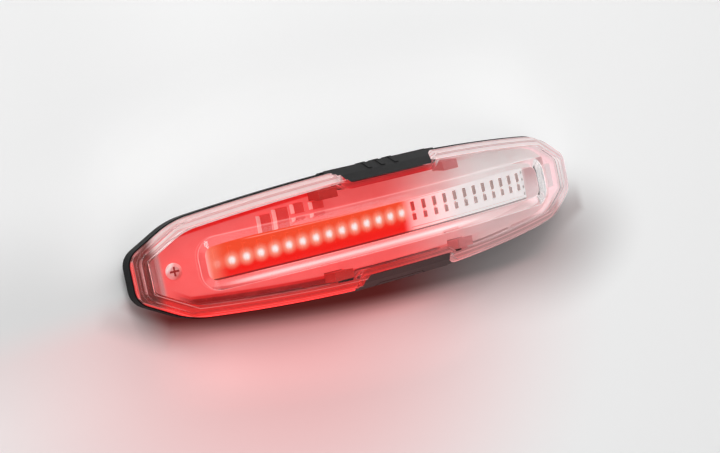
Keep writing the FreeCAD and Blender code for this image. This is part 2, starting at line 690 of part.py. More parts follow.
# What carries the LED board: cross ribs, the screw boss and the hook at the far end.
board_seat = "-board_drop - board_thickness - face_gap"
under_board = "-board_drop - board_thickness"


def on_arch(item, x, level, y="0", length="0", width="0", lift="0"):
    """Stand an object on a level of the arch, tilted with it, centred on x and y."""
    radius = "(arch_radius + (%s))" % level
    lean = "asin((%s)/%s)" % (x, radius)
    out = "(%s + (%s))" % (radius, lift)
    item.Placement = FreeCAD.Placement(Vector(), Rotation(ACROSS, 1))
    item.setExpression("Placement.Rotation.Angle", formula(lean))
    return place(item, "%s*sin(%s) - (%s)/2*cos(%s)" % (out, lean, length, lean), "(%s) - (%s)/2" % (y, width),
                 "rim_level - arch_radius + %s*cos(%s) + (%s)/2*sin(%s)" % (out, lean, length, lean))


rib = slab_box("rib", "rib_place", "0", "back_level + floor_thickness/2", "rib_thickness", "2*rib_half_width",
               "cut_height")
rib_cap = common("rib_cap", rib, below_arch("rib_top", board_seat))
boss = common("boss", rod("boss_rod", "-screw_place", "0", "back_level + floor_thickness/2", "screw_boss_radius",
                          "cut_height"), below_arch("boss_top", board_seat))
screw_room = doc.addObject("Part::Cylinder", "screw_room")
bind(screw_room, Radius="screw_shank_radius + face_gap", Height="2*screw_length")
on_arch(screw_room, "-screw_place", "-board_drop", lift="-screw_length - screw_tip_gap")
shelf = slab_box("shelf", "board_half_length - hook_thickness", "0", "back_level + floor_thickness/2",
                 "3*hook_thickness", "hook_width", "cut_height")
shelf_cap = common("shelf_cap", shelf, below_arch("shelf_top", board_seat))
hook_start = "board_half_length + hook_gap"
hook_block = box("hook_block", hook_start + " - hook_gap - hook_overlap", "-hook_width/2",
                 inner_floor + " - floor_thickness/2", "hook_overlap + hook_gap + hook_thickness", "hook_width",
                 "cut_height")
hook_cap = common("hook_cap", hook_block, below_arch("hook_top", "hook_thickness - board_drop"))
hook_room_box = box("hook_room_box", hook_start + " - hook_width", "-hook_width", "0", "hook_width", "2*hook_width",
                    "cut_height")
hook_room = common("hook_room", hook_room_box, below_arch("hook_under", "hook_gap - board_drop"))
hook = cut("hook", hook_cap, hook_room)

# Standoffs for the main board, two of them with a peg, and low walls around the battery.
standoff_height = "main_board_top - board_thickness - face_gap - " + inner_floor


def each_corner(x, y):
    """The four places that a spot has by symmetry."""
    return [("(%s)*(%d)" % (x, sx), "(%s)*(%d)" % (y, sy)) for sx in (-1, 1) for sy in (-1, 1)]


standoffs = []
pegs = []
for index, (x, y) in enumerate(each_corner("standoff_place", "standoff_side")):
    standoffs.append(slab_box("standoff_%d" % index, x, y, inner_floor + " - floor_thickness/2", "2*standoff_half",
                              "2*standoff_half", standoff_height + " + floor_thickness/2"))
    if index in (0, 3):
        pegs.append((x, y))
        standoffs.append(rod("peg_%d" % index, x, y, inner_floor, "peg_radius",
                             "main_board_top + peg_height - (%s)" % inner_floor))
bay_stop = slab_box("bay_stop", "cell_length/2 + bay_gap + bay_wall/2", "0", inner_floor + " - floor_thickness/2",
                    "bay_wall", "cell_width/2", "bay_height + floor_thickness/2")
bay_side = slab_box("bay_side", "cell_length/2 - bay_side_place", "cell_width/2 + bay_gap + bay_wall/2",
                    inner_floor + " - floor_thickness/2", "bay_side_length", "bay_wall",
                    "bay_height + floor_thickness/2")
bay_pair = fuse("bay_pair", bay_side, flip_x("bay_side_far", bay_side))
bay = [bay_stop, flip_x("bay_stop_far", bay_stop), bay_pair, flip_y("bay_pair_low", bay_pair)]

# Bracket rails on the back, with a stop and a recess for a latch.
rail = box("rail", "-rail_half_length", "rail_outer - rail_wall", "0", "2*rail_half_length", "rail_wall",
           "back_level + floor_thickness/2")
rail_lip = box("rail_edge", "-rail_half_length", "rail_outer - rail_wall - rail_lip", "0", "2*rail_half_length",
               "rail_wall/2 + rail_lip", "rail_lip_thickness")
rail_one = fuse("rail_one", rail, rail_lip)
rail_end = slab_box("rail_end", "rail_half_length - rail_stop/2", "0", "0", "rail_stop",
                    "2*rail_outer - rail_wall", "back_level + floor_thickness/2")
rails = [rail_one, flip_y("rail_two", rail_one), rail_end]
latch = slab_box("latch", "latch_place", "0", "0", "latch_length", "latch_width", "back_level + latch_depth")
housing_block = fuse("housing_block", shell, *posts, rib_cap, flip_x("rib_mirror", rib_cap), boss, shelf_cap, hook,
                     *standoffs, *bay, *rails)
rear_housing = finish("rear_housing", cut("rear_housing", housing_block, pockets, port_hole, stem_hole, groove,
                                          screw_room, latch))

# LED board with its screw, the strip of LEDs and the parts in front.
board_column = common("board_column", swept("board_plate", rim, "-board_inset"),
                      slab_box("board_ends", "0", "0", "0", "2*board_half_length", "tool_reach", "cut_height"))
board_slab = arched("board_slab", board_column, "-board_drop", under_board)
board_hole = doc.addObject("Part::Cylinder", "board_hole")
bind(board_hole, Radius="screw_hole_radius", Height="screw_length")
on_arch(board_hole, "-screw_place", "-board_drop", lift="-screw_length/2")
pin_places = ["pin_place + %d*pin_pitch" % index for index in range(3)]
pin_top = "(rim_level - arch_radius + (arch_radius - board_drop - board_thickness)*cos(asin((%s)/arch_radius)))"


def link_pin(name, x, half):
    """One pin between the boards."""
    foot = "main_board_top - board_thickness - pin_stub"
    height = pin_top % x + " + pin_depth - (%s)" % foot
    return slab_box(name, x, "pin_side", foot, "2*" + half, "2*" + half, height)


pin_holes = [link_pin("pin_hole_%d" % index, x, "pin_hole_half") for index, x in enumerate(pin_places)]
board_notches = both_notches("board_notches", "notch_wall + board_clearance")
led_board = finish("led_board", cut("led_board", board_slab, board_notches, room_for_posts, board_hole, *pin_holes))
pins = [link_pin("pin_%d" % index, x, "pin_half") for index, x in enumerate(pin_places)]
finish("link_pins", group("link_pins", pins))

shank = rod("shank", "0", "0", "-screw_length", "screw_shank_radius", "screw_length + screw_head_height/2")
head_disc = rod("head_disc", "0", "0", "0", "screw_head_radius", "screw_head_height")
head = doc.addObject("Part::Chamfer", "head")
head.Base = head_disc
doc.recompute()
top_edge = [index for index, edge in enumerate(head_disc.Shape.Edges, start=1)
            if edge.BoundBox.ZMin > size("screw_head_height") - 1e-6]
head.Edges = [(index, size("screw_head_height") / 2, size("screw_head_height") / 2) for index in top_edge]
arms = (("recess_length", "recess_width"), ("recess_width", "recess_length"))
slots = [slab_box("slot_%d" % index, "0", "0", "screw_head_height - recess_depth", length, width, "2*recess_depth")
         for index, (length, width) in enumerate(arms)]
board_screw = finish("board_screw", cut("board_screw", fuse("screw_blank", shank, head), *slots))
on_arch(board_screw, "-screw_place", "-board_drop", lift="face_gap")

strip_foot = "-board_drop + face_gap"
strip_top = strip_foot + " + strip_thickness"
strip_core = rectangle("strip_core", "strip_half_length", "strip_half_width", "strip_corner")
finish("led_strip", arched("led_strip", swept("strip_column", strip_core, "strip_corner"), strip_top, strip_foot))


def tilted_box(name, x, y, level, length, width, height):
    """A block that stands on a level of the arch, tilted with it."""
    item = doc.addObject("Part::Box", name)
    bind(item, Length=length, Width=width, Height=height)
    return on_arch(item, x, level, y, length, width)


COLUMNS = int(size("columns"))
LIT_COLUMNS = int(size("lit_columns"))
lit = []
unlit = []
resistors = []
for index in range(COLUMNS):
    x = "chip_shift + %d*chip_pitch" % (index - COLUMNS // 2)
    chip = tilted_box("chip_%d" % index, x, "chip_place", strip_top, "chip_length", "chip_width", "chip_height")
    (lit if index < LIT_COLUMNS else unlit).append(chip)
    resistors.append(tilted_box("strip_resistor_%d" % index, x, "resistor_place", strip_top, "chip_length",
                                "resistor_width", "chip_height"))
finish("lit_led_chips", group("lit_led_chips", lit))
finish("unlit_led_chips", group("unlit_led_chips", unlit))
finish("strip_resistors", group("strip_resistors", resistors))

# Parts on the front of the LED board: from the left end of the strip, y, length, width.
FRONT_PARTS = [(13.2, 5.6, 2.2, 2.3), (16.8, 5.9, 2.6, 2.8), (20.5, 6.5, 2.1, 2.0), (24.7, 6.3, 2.4, 1.6)]
front_parts = [tilted_box("front_part_%d" % index, "%s - strip_half_length" % along, str(y), "-board_drop",
                          str(length), str(width), "3*chip_height")
               for index, (along, y, length, width) in enumerate(FRONT_PARTS)]
finish("front_capacitors", group("front_capacitors", front_parts))

# Main board with the parts on it.
board_foot = "main_board_top - board_thickness"
main_plate = slab_box("main_plate", "0", "0", board_foot, "2*main_board_half_length", "2*main_board_half_width",
                      "board_thickness")
main_holes = [rod("peg_hole_%d" % index, x, y, board_foot + " - board_thickness", "peg_radius + peg_clearance",
                   "3*board_thickness")
              for index, (x, y) in enumerate(pegs)]
main_holes += [slab_box("main_pin_hole_%d" % index, x, "pin_side", board_foot + " - board_thickness",
                        "2*pin_hole_half", "2*pin_hole_half", "3*board_thickness") for index, x in enumerate(pin_places)]
tab_x = "cell_length/2 + tab_reach"
main_holes += [slab_box("tab_slot_%d" % index, tab_x + " - tab_thickness/2", y, board_foot + " - board_thickness",
                        "tab_thickness + 2*tab_clearance", "tab_width + 2*tab_clearance", "3*board_thickness")
               for index, y in enumerate(("tab_side", "-tab_side"))]
finish("main_board", cut("main_board", main_plate, *main_holes))

# name, x, y, length, width, height of the parts on the main board.
BOARD_PARTS = [
    ("charge_controller", [(-9.5, 3.2, 3.0, 3.0, 0.9)]),
    ("light_controller", [(9.5, 2.6, 5.0, 4.0, 1.4)]),
    ("inductor", [(-16.5, -2.6, 4.2, 4.2, 1.5)]),
    ("charge_led", [(6.4, 6.4, 1.6, 0.8, 0.6)]),
    ("board_capacitors", [(-13.6, 5.8, 1.6, 0.8, 0.8), (-9.5, 6.1, 1.6, 0.8, 0.8), (-6.0, 5.8, 0.8, 1.6, 0.8),
                          (-20.6, 3.0, 0.8, 1.6, 0.8), (14.4, -4.6, 1.6, 0.8, 0.8)]),
    ("board_resistors", [(-12.4, 0.2, 1.0, 0.5, 0.35), (-9.6, 0.2, 1.0, 0.5, 0.35), (-6.8, 0.2, 1.0, 0.5, 0.35),
                         (5.0, -4.6, 1.0, 0.5, 0.35), (7.4, -4.6, 1.0, 0.5, 0.35), (9.8, -4.6, 1.0, 0.5, 0.35)]),
]
for node, places in BOARD_PARTS:
    blocks = [slab_box("%s_%d" % (node, index), str(x), str(y), "main_board_top", str(length), str(width), str(height))
              for index, (x, y, length, width, height) in enumerate(places)]
    finish(node, group(node, blocks))

# Battery pouch on its foam, and its two metal tabs, bent up through the main board.
finish("battery_foam", slab_box("battery_foam", "0", "0", inner_floor, "cell_length - 2*foam_inset",
                                "cell_width - 2*foam_inset", "foam_thickness"))
cell_foot = inner_floor + " + foam_thickness"
cell_core = polygon("cell_core", [
    ("cell_rounding - cell_width/2", cell_foot + " + cell_rounding"),
    ("cell_width/2 - cell_rounding", cell_foot + " + cell_rounding"),
    ("cell_width/2 - cell_rounding", cell_foot + " + cell_height - cell_rounding"),
    ("cell_rounding - cell_width/2", cell_foot + " + cell_height - cell_rounding"),
], ON_END)
cell = swept("battery", cell_core, "cell_rounding", Vector(1, 0, 0), "cell_length")
finish("battery", place(cell, "-cell_length/2"))


tab_line = polygon("tab_line", [
    ("cell_length/2", "tab_level"),
    (tab_x, "tab_level"),
    (tab_x, "tab_top"),
    (tab_x + " - tab_thickness", "tab_top"),
    (tab_x + " - tab_thickness", "tab_level + tab_thickness"),
    ("cell_length/2", "tab_level + tab_thickness"),
], ON_SIDE)
for node, y in (("battery_tab_plus", "tab_side - tab_width/2"), ("battery_tab_minus", "-tab_side - tab_width/2")):
    finish(node, swept(node, tab_line, "0", ACROSS, "tab_width", y))

# Charging socket: folded sheet shell, open at the front, with a contact tongue.
socket_foot = "main_board_top"
socket_line = polygon("socket_line", [
    ("socket_chamfer - socket_width/2", socket_foot),
    ("socket_width/2 - socket_chamfer", socket_foot),
    ("socket_width/2", socket_foot + " + socket_chamfer"),
    ("socket_width/2", socket_foot + " + socket_height"),
    ("-socket_width/2", socket_foot + " + socket_height"),
    ("-socket_width/2", socket_foot + " + socket_chamfer"),
], ON_SIDE)
socket_block = swept("socket_block", socket_line, "0", ACROSS, "socket_depth", "socket_front - socket_depth")
socket_room = swept("socket_room", socket_line, "-socket_wall", ACROSS, "socket_depth",
                    "socket_front - socket_depth + socket_wall")
finish("usb_socket", cut("usb_socket", socket_block, socket_room))
tongue_length = "socket_depth - socket_wall - tongue_recess"
finish("usb_tongue", box("usb_tongue", "-tongue_width/2", "socket_front - socket_depth + socket_wall",
                         socket_foot + " + socket_height - socket_wall - 2*tongue_height", "tongue_width",
                         tongue_length, "tongue_height"))

# Rubber pads: one section turned about the arch, trimmed to the notch and its shallow tails.
pad_section = polygon("pad_section", [
    ("pad_edge", "rim_level - pad_foot_drop"),
    ("pad_foot_out", "rim_level - pad_foot_drop"),
    ("pad_belly_out", "rim_level - pad_belly_drop"),
    ("pad_bulge_out", "rim_level - pad_bulge_drop"),
    ("pad_crease_out", "rim_level - pad_crease_drop"),
    ("pad_edge", "rim_level + pad_top"),
], ON_END)


def turned_pad(name, source):
    """A section turned about the axis of the arch."""
    item = doc.addObject("Part::Revolution", name)
    item.Source = source
    item.Axis = ACROSS
    item.Symmetric = True
    item.Solid = True
    bind(item, Angle="sweep_angle")
    item.setExpression("Base.z", formula("rim_level - arch_radius"))
    return item


pad_sweep = turned_pad("pad_sweep", pad_section)
pad_notch = notch("pad_notch", "-pad_gap")
tail_block = slab_box("tail_block", "0", "(tail_inner + notch_reach)/2", "0", "2*pad_half_length",
                      "notch_reach - tail_inner", "cut_height")
tail_slab = common("tail_slab", tail_block, below_arch("tail_top", "-tail_top_drop"))
pad_space = fuse("pad_space", pad_notch, tail_slab)
pad_outline = swept("pad_outline", pad_side, "0", ACROSS, "notch_reach")
pad_blank = common("pad_blank", pad_sweep, pad_space, pad_outline)

wide_section = doc.addObject("Part::Offset2D", "wide_section")
wide_section.Source = pad_section
wide_section.Mode = "Pipe"
wide_section.Join = "Intersection"
bind(wide_section, Value="grip_height")
wide_sweep = turned_pad("wide_sweep", wide_section)


def raised(name, columns, column):
    """Raised marks: what a set of columns takes out of the pad's thicker form."""
    marks = [column("%s_%d" % (name, index), x) for index, x in enumerate(columns)]
    return common(name, wide_sweep, fuse(name + "_columns", *marks))


# Port cover on the socket's side, with a rounded end about its hinge line.
beside = box("beside_hinge", "-notch_reach", "0", "0", "notch_reach + flap_pivot_x", "notch_reach", "cut_height")
barrel = common("barrel", rod("barrel_rod", "flap_pivot_x", "flap_pivot_y", "rim_level - tail_foot_drop",
                              "flap_barrel", "cut_height"), below_arch("barrel_top", "-tail_top_drop"))
plug_core = rectangle("plug_core", "plug_width/2", "plug_height/2", "plug_height/4", ON_SIDE, "port_height")
plug = swept("plug", plug_core, "plug_height/4", ACROSS, "pad_edge - plug_tip + pad_gap", "plug_tip")
grips = raised("grips", ["-grip_pitch", "0", "grip_pitch"], lambda name, x: slab_box(
    name, x, "pad_bulge_out", "rim_level - pad_bulge_drop - grip_length/2", "grip_width", "2*grip_reach",
    "grip_length"))
usb_cover = finish("usb_cover", fuse("usb_cover", cut("flap", pad_blank, beside), barrel, plug, grips))

# Button pad on the other side: a fixed frame and the moving key with its stem.
key_core = rectangle("key_core", "key_half_length", "key_half_height", "key_corner", ON_SIDE, "key_height")
key_space = swept("key_space", key_core, "key_corner + key_gap", ACROSS, "notch_reach", "0")
stem_space = slab_box("stem_space", "0", "key_back/2", "stem_height - stem_hole_height/2", "stem_hole_width",
                      "key_back + 2*key_gap", "stem_hole_height")
frame_side = cut("frame_side", pad_blank, key_space, stem_space)
finish("button_frame", flip_y("button_frame", frame_side))
key_column = swept("key_column", key_core, "key_corner", ACROSS, "notch_reach - key_back", "key_back")
key_blank = common("key_blank", pad_sweep, key_column)
stem = box("stem", "stem_clearance - stem_hole_width/2", "stem_tip",
           "stem_height - stem_hole_height/2 + stem_clearance", "stem_hole_width - 2*stem_clearance",
           "key_back - stem_tip + stem_bite", "stem_hole_height - 2*stem_clearance")


dots = raised("dots", ["-grip_pitch", "0", "grip_pitch"], lambda name, x: slab_box(
    name, x, "pad_bulge_out", "key_height - grip_width", "2*grip_width", "2*grip_reach", "2*grip_width"))
power_button = finish("power_button", flip_y("power_button", fuse("key", key_blank, stem, dots)))

# Tact switch under the button: body with a bore, plunger and a metal plate on top.
switch_block = slab_box("switch_block", "0", "switch_depth/2 - switch_front", "main_board_top", "switch_width",
                        "switch_depth", "switch_height")
bore = slab_box("bore", "0", "plunger_room/2 - switch_front", "stem_height - plunger_height/2 - plunger_clearance",
                "plunger_width + 2*plunger_clearance", "2*plunger_inside + plunger_room",
                "plunger_height + 2*plunger_clearance")
finish("switch_body", cut("switch_body", switch_block, bore))
finish("switch_plunger", slab_box("switch_plunger", "0", "(plunger_inside - plunger_tip - switch_front)/2",
                                  "stem_height - plunger_height/2", "plunger_width",
                                  "plunger_inside + plunger_tip - switch_front", "plunger_height"))
finish("switch_plate", slab_box("switch_plate", "0", "switch_depth/2 - switch_front", "main_board_top + switch_height",
                                "switch_width", "switch_depth", "plate_thickness"))

doc.recompute()

# Every object must be sound before the sub-parts are written.
for item in doc.Objects:
    if "Invalid" in item.State or "Error" in item.State:
        raise RuntimeError("%s is not sound: %s" % (item.Name, item.State))
for node, item in subparts.items():
    if item.Shape.isNull() or not item.Shape.isValid() or not item.Shape.Solids:
        raise RuntimeError(node + " is not a valid solid")
    item.Shape.exportStep("parts/%s.step" % node)
    bounds = item.Shape.optimalBoundingBox()
    print("%-20s %2d solids %9.2f mm3  x %.2f %.2f  y %.2f %.2f  z %.2f %.2f" % (
        node, len(item.Shape.Solids), item.Shape.Volume, bounds.XMin, bounds.XMax, bounds.YMin, bounds.YMax,
        bounds.ZMin, bounds.ZMax))
print(len(subparts), "sub-parts")
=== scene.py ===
# %% [markdown]
# A rechargeable tail light lies on its back on a pale table. Its arched clear cover shows a long LED
# strip, lit red over its left half, on a white board. Two black rubber pads sit in notches of its long
# sides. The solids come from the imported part; this lesson gives each its finish and adds what is too
# fine for a solid: solder, tracks, contacts, chip legs, tape, grain and the glow of the LEDs.

import bmesh
import bpy
import numpy as np
from mathutils import Matrix, Vector


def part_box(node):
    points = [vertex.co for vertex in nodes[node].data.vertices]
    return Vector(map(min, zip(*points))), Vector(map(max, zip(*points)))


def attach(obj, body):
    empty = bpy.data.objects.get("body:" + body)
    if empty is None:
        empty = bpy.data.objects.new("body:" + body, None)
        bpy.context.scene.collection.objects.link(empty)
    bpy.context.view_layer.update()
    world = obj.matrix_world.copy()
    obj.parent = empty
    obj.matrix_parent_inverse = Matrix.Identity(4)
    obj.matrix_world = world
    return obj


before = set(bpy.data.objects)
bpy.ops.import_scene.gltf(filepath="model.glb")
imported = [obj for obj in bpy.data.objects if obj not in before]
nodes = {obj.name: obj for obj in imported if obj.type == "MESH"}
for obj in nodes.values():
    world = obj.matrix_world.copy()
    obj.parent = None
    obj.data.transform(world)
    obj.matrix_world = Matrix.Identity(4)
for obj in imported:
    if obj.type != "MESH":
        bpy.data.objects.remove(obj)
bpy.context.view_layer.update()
MM = 0.001

# %% [markdown]
# The photograph was taken from above the left end with a long lens, and the camera leans a little. Its
# place was worked out from the outline of the rim and the row of LEDs, so the camera is set by its three
# axes rather than aimed at a point.

# %% Camera
CAMERA_PLACE = (-178.11, 23.60, 269.84)
CAMERA_RIGHT = (0.80642, -0.19938, 0.55672)
CAMERA_UP = (0.20790, 0.97694, 0.04873)
CAMERA_BACK = (-0.55359, 0.07644, 0.82927)

eye = bpy.data.cameras.new("camera")
eye.lens = 75.0
eye.sensor_width = 36.0
eye.clip_start = 0.01
eye.clip_end = 20.0
camera = bpy.data.objects.new("camera", eye)
axes = Matrix((CAMERA_RIGHT, CAMERA_UP, CAMERA_BACK)).transposed().to_4x4()
camera.matrix_world = Matrix.Translation(Vector(CAMERA_PLACE) * MM) @ axes
bpy.context.scene.collection.objects.link(camera)
bpy.context.scene.camera = camera
print("camera", [round(v, 3) for v in camera.matrix_world.translation])

# %% [markdown]
# A material is a small graph of nodes. Here an output of the graph is wrapped so that + - * / on it add
# the arithmetic nodes, and a recipe reads as a formula. Three more helpers do most of the work: slope
# turns a number into a share from 0 to 1, blend mixes two colours by a share, and painted lays several
# tones over a first one, each by its own share.

# %% Helpers for materials
class Value:
    """An output in a shader graph; arithmetic on it adds the nodes that work it out."""

    def __init__(self, socket):
        self.socket = socket
        self.tree = socket.id_data

    def __add__(self, other):
        return calc("ADD", self, other)

    def __radd__(self, other):
        return calc("ADD", other, self)

    def __sub__(self, other):
        return calc("SUBTRACT", self, other)

    def __rsub__(self, other):
        return calc("SUBTRACT", other, self)

    def __mul__(self, other):
        return calc("MULTIPLY", self, other)

    def __truediv__(self, other):
        return calc("DIVIDE", self, other)

    def __abs__(self):
        return calc("ABSOLUTE", self)


def feed(socket, value):
    """Link a value to a socket, or set the socket's own constant; a triple is a colour."""
    if isinstance(value, Value):
        value.tree.links.new(value.socket, socket)
    elif socket.type == "RGBA":
        socket.default_value = (*value, 1.0)
    else:
        socket.default_value = value


def wire(node, **inputs):
    """Feed a node's inputs; in the keyword names, underscores stand for spaces."""
    for name, value in inputs.items():
        feed(node.inputs[name.replace("_", " ")], value)


def add(tree, kind, output, **inputs):
    """Add a node, feed its inputs and return one of its outputs."""
    made = tree.nodes.new(kind)
    wire(made, **inputs)
    return Value(made.outputs[output])


def calc(operation, *values):
    """One arithmetic node on numbers and values; at least one of them is a value."""
    tree = next(value.tree for value in values if isinstance(value, Value))
    made = tree.nodes.new("ShaderNodeMath")
    made.operation = operation
    for socket, value in zip(made.inputs, values):
        feed(socket, value)
    return Value(made.outputs["Value"])


def larger(first, *more):
    """The greatest of some values."""
    for value in more:
        first = calc("MAXIMUM", first, value)
    return first


def smaller(first, *more):
    """The least of some values."""
    for value in more:
        first = calc("MINIMUM", first, value)
    return first


def distance(across, up):
    """Length of the slanted side of a right triangle."""
    return calc("SQRT", across * across + up * up)


def slope(value, none, full):
    """0 up to one number, 1 from the other on, smooth between; they may stand in either order."""
    made = value.tree.nodes.new("ShaderNodeMapRange")
    made.interpolation_type = "SMOOTHSTEP"
    wire(made, Value=value, From_Min=none, From_Max=full)
    return Value(made.outputs["Result"])


def blend(share, first, second):
    """Mix two colours, each a triple or a value, by a share."""
    made = share.tree.nodes.new("ShaderNodeMix")
    made.data_type = "RGBA"
    feed(made.inputs["Factor"], share)
    for socket, colour in zip([s for s in made.inputs if s.type == "RGBA"], (first, second)):
        feed(socket, colour)
    return Value([s for s in made.outputs if s.type == "RGBA"][0])


def painted(tone, *layers):
    """Lay tones over a first one; each layer is a share and a tone."""
    for share, layer in layers:
        tone = blend(share, tone, layer)
    return tone


def new_material(name, colour, roughness, **shader_inputs):
    """A material with one Principled shader; returns the material, its tree and the shader."""
    material = bpy.data.materials.new(name)
    material.use_nodes = True
    shader = material.node_tree.nodes["Principled BSDF"]
    wire(shader, Base_Color=colour, Roughness=roughness, **shader_inputs)
    return material, material.node_tree, shader


def grain(tree, size, detail=3.0):
    """Noise with features of a size in mm, fixed to the object."""
    spot = add(tree, "ShaderNodeTexCoord", "Object")
    return add(tree, "ShaderNodeTexNoise", "Fac", Vector=spot, Scale=1.0 / (size * MM), Detail=detail)


def bumped(shader, height, strength):
    """Use a height pattern as relief a tenth of a millimetre deep."""
    wire(shader, Normal=add(height.tree, "ShaderNodeBump", "Normal", Height=height, Strength=strength,
                            Distance=0.1 * MM))


def dress(material, *names):
    """Give CAD nodes a material."""
    for name in names:
        mesh = nodes[name].data
        mesh.materials.clear()
        mesh.materials.append(material)


print("helpers ready")

# %% [markdown]
# Everything on this light follows two shapes: the outline of the rim, seen from above, and the arch along
# the length. A finish that knows how far inside the outline a point lies, and how high above the arch,
# can put a tone exactly on a step, a joint or an inner wall, from any side. All lengths are in mm. In the
# recipes, most names in capitals with two numbers hold the ends of a slope: where a tone is absent, and
# where it is full. Four numbers are the ends of two slopes, with the full tone between the middle ones.

# %% Place on the light
RIM_SIDE = 11.63
SIDE_RADIUS = 412.0
FACET_NORMAL = (0.5075, 0.8616)
FACET_REACH = 31.36
RIM_END = 55.0
ARCH_RADIUS = 163.0
ARCH_CENTRE = 18.9 - ARCH_RADIUS


def spot_on_light(tree):
    """X, Y and Z of a point, in millimetres."""
    spot = add(tree, "ShaderNodeTexCoord", "Object")
    return [add(tree, "ShaderNodeSeparateXYZ", axis, Vector=spot) / MM for axis in "XYZ"]


def rim_inset(x, y):
    """Millimetres inside the rim line: the least distance to its arc, slanted facet and flat end."""
    arc = RIM_SIDE - x * x / (2 * SIDE_RADIUS) - abs(y)
    facet = FACET_REACH - (abs(x) * FACET_NORMAL[0] + abs(y) * FACET_NORMAL[1])
    return smaller(arc, facet, RIM_END - abs(x))


def arch_level(x, z):
    """Millimetres above the arch of the rim: distance from the arch's axis less its radius."""
    return distance(x, z - ARCH_CENTRE) - ARCH_RADIUS


def from_slot(x, y, half_x, half_y, corner):
    """Millimetres outside a rounded rectangle about the middle, negative inside it."""
    out_x = abs(x) - (half_x - corner)
    out_y = abs(y) - (half_y - corner)
    round_part = distance(larger(out_x, 0.0), larger(out_y, 0.0))
    straight_part = smaller(larger(out_x, out_y), 0.0)
    return round_part + straight_part - corner


def thin_line(value, place, half_width):
    """1 where a value is at a place, 0 beside it."""
    return slope(abs(value - place), half_width, half_width * 0.3)


def between(value, start, low, high, stop):
    """1 from low to high, fading to 0 at start and at stop."""
    return slope(value, start, low) * slope(value, stop, high)


def red_share(x, start=-6.0, stop=34.0):
    """How much painted red light of the LEDs a point gets: full at the left, none at the right."""
    return slope(x, stop, start)


print("arch centre", ARCH_CENTRE, "mm")

# %% [markdown]
# The table is a large pale sheet. The red of the lit LEDs spills over the near edge onto it as painted red
# light, so its colour turns from light grey to a soft red beside the lit half, as in the photograph; its
# shadows are painted shade too. The tones are laid over each other: ovals for the wide ones, and for the
# narrow ones a distance from the line where the light meets the table, as the camera sees it.

# %% Table
TABLE_HALF = 3.0
TABLE_LEVEL = -0.02 * MM
FOOT_LINE = 4.6  # how far outside the rim the camera sees the light meet the table, at FOOT_X
FOOT_X = -27.0
FOOT_SPREAD = 0.078  # how much further out for each millimetre along X
NEAR_SIDE = (-2.0, -11.0)
CONTACT_SHADOW = (0.6, -2.2)
CLOSE_RED = (5.0, -1.0)
LIT_HALF = (-54.0, -44.0, -4.0, 34.0)


def flat_sheet(name, half, height):
    """A square of side 2*half at a height."""
    mesh = bpy.data.meshes.new(name)
    corners = [(-half, -half, height), (half, -half, height), (half, half, height), (-half, half, height)]
    mesh.from_pydata(corners, [], [(0, 1, 2, 3)])
    sheet = bpy.data.objects.new(name, mesh)
    bpy.context.scene.collection.objects.link(sheet)
    return sheet


def oval(x, y, middle, reach):
    """1 at the middle of an oval on the table, falling to 0 at its rim."""
    return slope(distance((x - middle[0]) / reach[0], (y - middle[1]) / reach[1]), 1.0, 0.0)


table = flat_sheet("table", TABLE_HALF, TABLE_LEVEL)
table_with_painted_light, tree, shader = new_material("table_with_painted_light", (0.8, 0.8, 0.8), 0.7, Specular_IOR_Level=0.1)
x, y, z = spot_on_light(tree)
outside = rim_inset(x, y) * -1.0
past_foot = outside - (FOOT_LINE + (x - FOOT_X) * FOOT_SPREAD)
near_side = slope(y, *NEAR_SIDE)

# Painted shade: the table is a little darker toward the left.
grey = blend(slope(x, -20.0, -65.0), (0.95, 0.95, 0.95), (0.88, 0.88, 0.88))
# Shares for painted shade before the left end, painted red light beside the lit half and the painted
# shadow where light and table meet.
past_left_end = past_foot - slope(x, -42.0, -54.0) * 2.4
painted_shade_before_left_end = slope(past_left_end, 4.5, -1.0) * slope(x, -42.0, -50.0) * near_side
painted_red_light_beside_lit_half = slope(past_foot, *CLOSE_RED) * near_side * between(x, *LIT_HALF)
painted_contact_shadow = slope(past_foot, *CONTACT_SHADOW) * near_side
contact_shadow_tone = blend(slope(x, 38.0, 2.0), (0.50, 0.45, 0.45), (0.36, 0.05, 0.045))
table_tone = painted(
    grey,
    # Painted shadow: grey zones in front of the left end and beside the right end.
    (oval(x, y, (-76.0, -2.0), (62.0, 24.0)) * 0.55, (0.60, 0.60, 0.60)),
    (oval(x, y, (52.0, -16.0), (36.0, 20.0)) * 0.95, (0.44, 0.41, 0.41)),
    # Painted red light: the wide red spill, with two places of painted shade in it:
    # by the left end and before the near pad.
    (oval(x, y, (-20.0, -22.0), (95.0, 76.0)) * near_side, (0.97, 0.55, 0.55)),
    (painted_shade_before_left_end * 0.6, (0.50, 0.42, 0.42)),
    (oval(x, y, (8.0, -26.0), (24.0, 11.0)) * 0.35, (0.55, 0.46, 0.46)),
    # Painted red light close to the lit half, and the painted shadow, a dark line where light and table
    # meet.
    (painted_red_light_beside_lit_half, (0.92, 0.33, 0.32)),
    (painted_contact_shadow, contact_shadow_tone))

# %% [markdown]
# A faint glow lifts the red and, behind the light, the white. Only camera, glossy and transmission rays
# see it, so it lights nothing.

# %% Glow on the table
NEAR_GLOW = 0.33
FAR_GLOW = 0.17
GLOW_WIDTH = (-0.7, 3.0, 4.0, 20.0)
GLOW_LENGTH = (-58.0, -34.0, 4.0, 36.0)
near_glow = between(past_foot, *GLOW_WIDTH) * between(x, *GLOW_LENGTH) * near_side * NEAR_GLOW
far_glow = slope(outside, 30.0, 3.0) * slope(y, -2.0, 6.0) * slope(abs(x), 80.0, 40.0) * FAR_GLOW
seen = larger(*[add(tree, "ShaderNodeLightPath", ray)
                for ray in ("Is Camera Ray", "Is Glossy Ray", "Is Transmission Ray")])
wire(shader, Base_Color=table_tone, Emission_Color=blend(near_side, (1.0, 1.0, 1.0), (1.0, 0.40, 0.40)),
     Emission_Strength=(near_glow + far_glow) * seen)
table.data.materials.append(table_with_painted_light)

